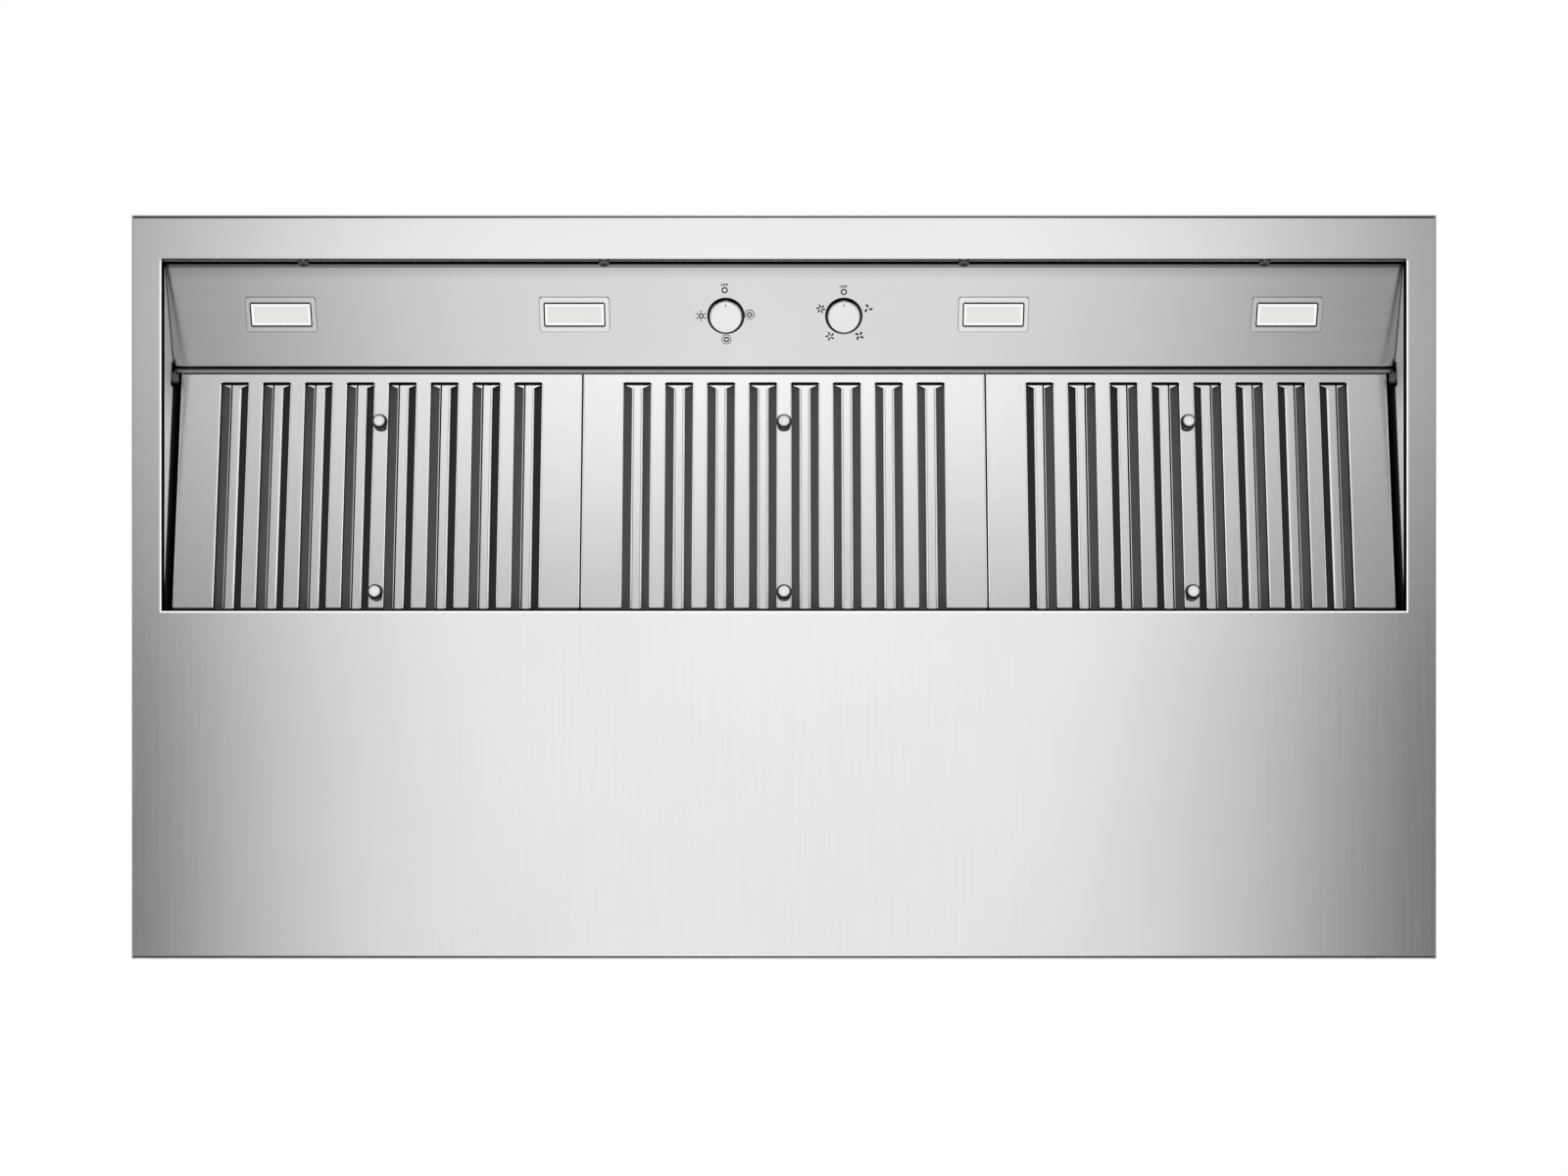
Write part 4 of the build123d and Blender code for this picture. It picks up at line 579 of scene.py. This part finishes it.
def polished(name, level, roughness):
    """Plated metal with faint turning marks and wear."""
    made, nodes, shader, place = new_material(name)
    grain = nodes.noise(place, 900.0, 4.0)
    colour = nodes.mix(grain, grey(level * 0.93), grey(level * 1.05))
    link(nodes, colour, shader, "Base Color")
    shine = nodes.remap(grain, *NOISE_RANGE, roughness * 0.7, roughness * 1.3)
    link(nodes, shine, shader, "Roughness")
    link(nodes, nodes.bump(grain, 0.05, GRAIN_DEPTH), shader, "Normal")
    shader.inputs["Metallic"].default_value = 1.0
    return made


def moulded(name, colour, roughness, scale=700.0, metallic=0.0, specular=0.5):
    """Moulded plastic or enamel with a fine skin texture."""
    made, nodes, shader, place = new_material(name)
    skin = nodes.noise(place, scale, 3.0)
    low = tuple(c * 0.88 for c in colour) + (1.0,)
    high = tuple(min(1.0, c * 1.1) for c in colour) + (1.0,)
    link(nodes, nodes.mix(skin, low, high), shader, "Base Color")
    shine = nodes.remap(skin, *NOISE_RANGE, roughness - 0.06, roughness + 0.06)
    link(nodes, shine, shader, "Roughness")
    link(nodes, nodes.bump(skin, 0.12, 0.0001), shader, "Normal")
    shader.inputs["Metallic"].default_value = metallic
    shader.inputs["Specular IOR Level"].default_value = specular
    return made


def woven_mesh(name, centre, outward):
    """Layers of woven aluminium wire behind the strips, painted dark as shade, darker on a filter's
    inner side.
    """
    made, nodes, shader, place = new_material(name)
    heights = []
    for turn in (WEAVE_TURN, WEAVE_TURN + math.pi / 2):
        inputs = {"Vector": place, "Rotation": (0.0, 0.0, turn)}
        turned = nodes.add("ShaderNodeMapping", inputs).outputs[0]
        inputs = {"Vector": turned, "Scale": WEAVE_SCALE, "Distortion": 1.5, "Detail": 2.0}
        heights.append(nodes.add("ShaderNodeTexWave", inputs).outputs["Fac"])
    weave = nodes.math("MAXIMUM", *heights)
    speck = nodes.remap(nodes.noise(place, 1400.0, 2.0), *NOISE_RANGE, 0.6, 1.1)
    level = nodes.math("MULTIPLY", weave, speck)
    if outward:
        # Painted shade in the half of each slot towards the middle of the hood
        out = nodes.math("MULTIPLY", slot_offset(nodes, place, centre), outward)
        level = nodes.math("MULTIPLY", level, nodes.remap(out, *DARK_GAP, DARK_GAP_SHADE, 1.0))
    # Colour of the wire painted dark as shade in its recess
    colour = nodes.mix(level, grey(0.02), grey(0.38))
    link(nodes, colour, shader, "Base Color")
    link(nodes, nodes.bump(level, 0.8, 0.0006), shader, "Normal")
    shader.inputs["Roughness"].default_value = 0.45
    shader.inputs["Metallic"].default_value = 0.9
    return made


def lamp_lens(name, x):
    """Frosted window lit from behind, brighter beside its edge; the flange round it painted dark as
    shade.
    """
    made, nodes, shader, place = new_material(name)
    centre = panel_matrix(x, -LAMP_SLANT).translation
    right, up, _ = panel_axes()
    along = along_axis(nodes, place, centre, right)
    across = along_axis(nodes, place, centre, up)
    to_end = nodes.math("SUBTRACT", LENS_HALF[0], nodes.math("ABSOLUTE", along))
    to_side = nodes.math("SUBTRACT", LENS_HALF[1], nodes.math("ABSOLUTE", across))
    inward = nodes.least(to_end, to_side)
    field = nodes.remap(inward, *LENS_EDGE, 0.0, 1.0)
    window = nodes.math("GREATER_THAN", inward, 0.0)
    frost = nodes.noise(place, 600.0, 3.0)
    link(nodes, nodes.mix(field, WHITE, LENS_TINT), shader, "Emission Color")
    glow = nodes.remap(field, 0.0, 1.0, LENS_EDGE_GLOW, LENS_GLOW)
    strength = nodes.math("MULTIPLY", glow, nodes.remap(frost, *NOISE_RANGE, 0.98, 1.02))
    link(nodes, nodes.math("MULTIPLY", strength, window), shader, "Emission Strength")
    frosted = nodes.mix(frost, grey(0.08, 0.02), grey(0.1, 0.02))
    # Outside the window the flange is painted dark as shade
    link(nodes, nodes.mix(window, grey(0.01), frosted), shader, "Base Color")
    shader.inputs["Roughness"].default_value = 0.55
    return made


materials = {
    "bottom_pan": brushed_metal("pan_steel", 0.74, 0.13, pan_grain, shade=pan_shade),
    "canopy": brushed_metal("canopy_steel", 0.62, 0.26, "X"),
    "canopy_side": brushed_metal("side_steel", 0.62, 0.26, "Z"),
    "control_panel": brushed_metal("panel_steel", 0.62, 0.18, "X", shade=panel_shade),
    "rail": brushed_metal("rail_steel", 0.4, 0.3, "X", streak=0.08, shade=rail_shade),
    "liner": brushed_metal("liner_steel", 0.8, 0.5, "Y", shade=liner_shade, metallic=0.0),
    "filter": filter_metal("filter_steel", filter_shade),
    "galvanised": galvanised("galvanised_steel", 0.55),
    "screws": polished("screw_steel", 0.72, 0.25),
    "dark_screws": polished("dark_screw_steel", 0.16, 0.25),
    "light_knob": knob_metal("light_knob_metal", LIGHT_KNOB),
    "fan_knob": knob_metal("fan_knob_metal", FAN_KNOB),
    "filter_knob": brushed_metal(
        "filter_knob_metal", 0.72, 0.3, "X", streak=0.02, shade=filter_knob_shade, metallic=0.1
    ),
    "bezel": brushed_metal("lamp_metal", 0.74, 0.2, "X", streak=0.02, shade=bezel_shade),
    "brass": moulded("shaft_brass", (0.72, 0.56, 0.28), 0.3, metallic=1.0),
    "switch": moulded("switch_plastic", (0.03, 0.03, 0.033), 0.5),
    "motor": moulded("motor_enamel", (0.09, 0.09, 0.1), 0.4, scale=300.0),
    "damper": brushed_metal("damper_aluminium", 0.8, 0.3, "X"),
    "driver": moulded("driver_case", (0.75, 0.75, 0.72), 0.5),
    "board": moulded("lamp_board", (0.85, 0.85, 0.82), 0.4),
    "ink": moulded("marking_ink", (0.01, 0.01, 0.011), 0.7, specular=0.15),
}

NODE_MATERIALS = {
    "bottom_pan": "bottom_pan",
    "front_cover": "canopy",
    "top_panel": "canopy",
    "left_side_panel": "canopy_side",
    "right_side_panel": "canopy_side",
    "control_panel": "control_panel",
    "front_filter_rail": "rail",
    "rear_filter_rail": "rail",
    "left_liner": "liner",
    "right_liner": "liner",
    "lip_screws": "dark_screws",
    "liner_screws": "dark_screws",
    "panel_screws": "screws",
    "switch_nuts": "screws",
    "motor_shaft": "screws",
    "damper_rod": "screws",
    "light_knob": "light_knob",
    "fan_knob": "fan_knob",
    "light_switch_shaft": "brass",
    "fan_switch_shaft": "brass",
    "light_switch": "switch",
    "fan_switch": "switch",
    "motor": "motor",
    "front_damper_flap": "damper",
    "rear_damper_flap": "damper",
    "led_driver": "driver",
}
for side, outward in (("left", -1), ("middle", 0), ("right", 1)):
    box_low, box_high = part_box(f"{side}_filter_frame")
    centre = (box_low[0] + box_high[0]) / 2
    materials[f"{side}_strips"] = filter_metal(f"{side}_strip_steel", strip_shade(centre, outward))
    materials[f"{side}_mesh"] = woven_mesh(f"{side}_filter_mesh", centre, outward)
    NODE_MATERIALS[f"{side}_filter_frame"] = "filter"
    NODE_MATERIALS[f"{side}_filter_baffles"] = f"{side}_strips"
    NODE_MATERIALS[f"{side}_filter_mesh"] = f"{side}_mesh"
    NODE_MATERIALS[f"{side}_filter_knobs"] = "filter_knob"
for place, x in zip(("left_outer", "left_inner", "right_inner", "right_outer"), LAMP_SPOTS):
    NODE_MATERIALS[f"{place}_lamp_housing"] = "bezel"
    NODE_MATERIALS[f"{place}_lamp_board"] = "board"
    materials[f"{place}_lens"] = lamp_lens(f"{place}_lens", x)
    NODE_MATERIALS[f"{place}_lamp_lens"] = f"{place}_lens"

for node_name, node_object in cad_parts.items():
    chosen = materials[NODE_MATERIALS.get(node_name, "galvanised")]
    for material_slot in node_object.material_slots:
        material_slot.material = chosen
    if not node_object.material_slots:
        node_object.data.materials.append(chosen)


# Marks printed round the knobs
def ink_object(name, shapes, x, y):
    """One printed mark, its flat polygons given a slight thickness above the panel."""
    mesh = bpy.data.meshes.new(name)
    solid = bmesh.new()
    for outline in shapes:
        low, high = (
            [solid.verts.new((px / 1000, py / 1000, height)) for px, py in outline]
            for height in (INK_LIFT, INK_LIFT + INK_THICKNESS)
        )
        solid.faces.new(high)
        solid.faces.new(list(reversed(low)))
        count = len(outline)
        for index in range(count):
            after = (index + 1) % count
            solid.faces.new((low[index], low[after], high[after], high[index]))
    bmesh.ops.triangulate(solid, faces=solid.faces[:])
    solid.to_mesh(mesh)
    solid.free()
    mesh.transform(panel_matrix(x, y))
    made = bpy.data.objects.new(name, mesh)
    bpy.context.scene.collection.objects.link(made)
    mesh.materials.append(materials["ink"])
    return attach(made, "hood")


def stroke(start, end, width):
    """A straight line with square ends."""
    (ax, ay), (bx, by) = start, end
    length = math.hypot(bx - ax, by - ay)
    nx, ny = -(by - ay) / length * width / 2, (bx - ax) / length * width / 2
    return [(ax + nx, ay + ny), (ax - nx, ay - ny), (bx - nx, by - ny), (bx + nx, by + ny)]


def arc_strokes(centre, radius, width, start=0.0, end=360.0, steps=24):
    """A ring or part of one, as short pieces that touch."""
    pieces = []
    for step in range(steps):
        first = math.radians(start + (end - start) * step / steps)
        last = math.radians(start + (end - start) * (step + 1) / steps)
        inner, outer = radius - width / 2, radius + width / 2
        outline = []
        for angle, far in ((first, inner), (first, outer), (last, outer), (last, inner)):
            outline.append((centre[0] + far * math.cos(angle), centre[1] + far * math.sin(angle)))
        pieces.append(outline)
    return pieces


def bulb(rays, ring=False):
    """A round lamp with rays round it, or with a broken ring."""
    shapes = arc_strokes((0, 0), BULB_RADIUS, MARK_LINE)
    if ring:
        shapes += arc_strokes(NIGHT_RING_CENTRE, NIGHT_RING_RADIUS, NIGHT_RING_LINE, *NIGHT_RING_ARC)
        for number in (-1, 0, 1):
            ends = ((NIGHT_BASE_PITCH * number, -reach) for reach in NIGHT_BASE_REACH)
            shapes.append(stroke(*ends, NIGHT_BASE_LINE))
    for number in range(rays):
        angle = math.radians(90 + 360 * number / rays)
        ends = ((reach * math.cos(angle), reach * math.sin(angle)) for reach in RAY_REACH)
        shapes.append(stroke(*ends, MARK_LINE))
    return shapes


def fan(blades, first=90.0):
    """A fan wheel with separate curved blades."""
    shapes = []
    width = WIDE_BLADE if blades < 5 else NARROW_BLADE
    for number in range(blades):
        turn = math.radians(first + 360 * number / blades)
        outline = []
        for reach, side in BLADE_OUTLINE:
            lean = turn + BLADE_LEAN * reach
            out_x, out_y = math.cos(lean), math.sin(lean)
            half = side * width
            outline.append((reach * out_x - half * out_y, reach * out_y + half * out_x))
        shapes.append(outline)
    return shapes


def off_word():
    """The word OFF in plain strokes."""
    left = -(3 * LETTER_WIDTH + 2 * LETTER_GAP) / 2
    top = LETTER_HEIGHT / 2
    shapes = []
    for step in range(ROUND_LETTER_STEPS):
        first, last = (2 * math.pi * (step + k) / ROUND_LETTER_STEPS for k in (0, 1))
        outline = []
        corners = ((first, ROUND_LETTER_INNER), (first, 1.0), (last, 1.0), (last, ROUND_LETTER_INNER))
        for angle, scale in corners:
            out = scale * LETTER_WIDTH * ROUND_LETTER_HALF * math.cos(angle)
            outline.append((left + LETTER_WIDTH / 2 + out, scale * top * math.sin(angle)))
        shapes.append(outline)
    for letter in (1, 2):
        start = left + letter * (LETTER_WIDTH + LETTER_GAP)
        stem = start + LETTER_LINE / 2
        arm = top - LETTER_LINE / 2
        shapes.append(stroke((stem, -top), (stem, top), LETTER_LINE))
        shapes.append(stroke((start, arm), (start + LETTER_WIDTH, arm), LETTER_LINE))
        shapes.append(stroke((start, 0.0), (start + LETTER_WIDTH * MIDDLE_ARM, 0.0), MIDDLE_ARM_LINE))
    return shapes


def knob_marks(prefix, knob, marks):
    """Marks at their ways to the right and up from the middle of a knob."""
    for mark_name, shapes, right_mm, up_mm in marks:
        x, y = knob[0] + right_mm / 1000, knob[1] + up_mm / 1000
        ink_object(f"{prefix}_{mark_name}", shapes, x, y)


open_circle = arc_strokes((0, 0), OPEN_CIRCLE_RADIUS, MARK_LINE, steps=28)
knob_marks(
    "light_mark",
    LIGHT_KNOB,
    (
        ("off_word", off_word(), -1.1, 29.9),
        ("off_circle", open_circle, -0.9, 24.9),
        ("dim", bulb(6), -23.4, 0.0),
        ("bright", bulb(10), 0.3, -23.0),
        ("night", bulb(0, ring=True), 22.3, 1.1),
    ),
)
knob_marks(
    "fan_mark",
    FAN_KNOB,
    (
        ("off_word", off_word(), -0.7, 28.2),
        ("off_circle", open_circle, -0.2, 23.2),
        ("speed_one", fan(3), 22.8, 7.2),
        ("speed_two", fan(4, 40.0), 14.9, -19.3),
        ("speed_three", fan(5), -13.0, -19.9),
        ("speed_four", fan(6), -21.9, 6.9),
    ),
)

# Floor, far enough down to stay out of the view up at the hood
floor_mesh = bpy.data.meshes.new("floor")
corners = [(x * FLOOR_HALF, y * FLOOR_HALF, FLOOR_Z) for x, y in ((-1, -1), (1, -1), (1, 1), (-1, 1))]
floor_mesh.from_pydata(corners, [], [(0, 1, 2, 3)])
floor = bpy.data.objects.new("floor", floor_mesh)
bpy.context.scene.collection.objects.link(floor)
floor_mesh.materials.append(moulded("floor_paint", (0.82, 0.82, 0.81), 0.8, scale=6.0))
floor.visible_glossy = False
floor.visible_diffuse = False
floor.visible_shadow = False

# Soft light from below for edges and paint; the steel mirrors only the studio round it
fill_data = bpy.data.lights.new("fill", "AREA")
fill_data.size = FILL_SIZE
fill_data.energy = FILL_WATTS
fill = bpy.data.objects.new("fill", fill_data)
bpy.context.scene.collection.objects.link(fill)
fill.location = (0.0, CAMERA_Y, FILL_Z)
fill.rotation_euler = (math.pi, 0.0, 0.0)
fill.visible_camera = False
fill.visible_glossy = False

# Studio light: white all round, and below the hood a wide softbox that fades to the two sides
world = bpy.data.worlds.new("studio")
bpy.context.scene.world = world
world.use_nodes = True
sky = Nodes(world.node_tree)
direction = sky.add("ShaderNodeTexCoord").outputs["Generated"]
parts = sky.add("ShaderNodeSeparateXYZ", {"Vector": direction})
drop = sky.math("MAXIMUM", sky.math("MULTIPLY", parts.outputs["Z"], -1.0), LEAST_DROP)
shifted = sky.math("ADD", parts.outputs["X"], sky.math("MULTIPLY", drop, SOFTBOX_SHIFT))
sideways = sky.math("DIVIDE", sky.math("ABSOLUTE", shifted), drop)
turn = sky.math("DIVIDE", sky.math("ARCTANGENT", sideways), math.pi / 2)
forward = sky.math("DIVIDE", parts.outputs["Y"], drop)
left_end = sky.remap(sky.math("DIVIDE", shifted, drop), *LEFT_END, LEFT_END_LEVEL, 1.0)
wall_side = sky.remap(forward, *WALL_SIDE, 1.0, WALL_SIDE_LEVEL)
rear_box = sky.mix(sky.math("MULTIPLY", left_end, wall_side), BLACK, sky.ramp(turn, REAR_BOX))
near_edge = sky.remap(forward, *NEAR_EDGE, 0.0, 1.0)
far_edge = sky.remap(forward, *FAR_EDGE, 1.0, 0.0)
over_rear = sky.math("MULTIPLY", near_edge, far_edge)
softbox = sky.mix(over_rear, sky.ramp(turn, FRONT_BOX), rear_box)
band = sky.ramp(sky.remap(forward, *BAND_REACH, 0.0, 1.0), BAND)
softbox = sky.mix(band, BLACK, softbox)
below = sky.remap(parts.outputs["Z"], *HORIZON, 1.0, 0.0)
surround = sky.mix(below, grey(SURROUND_LEVEL), softbox)
is_camera = sky.add("ShaderNodeLightPath").outputs["Is Camera Ray"]
seen = sky.mix(is_camera, surround, WHITE)
background = sky.add("ShaderNodeBackground", {"Color": seen, "Strength": 1.0})
world_output = sky.add("ShaderNodeOutputWorld")
world.node_tree.links.new(background.outputs["Background"], world_output.inputs["Surface"])
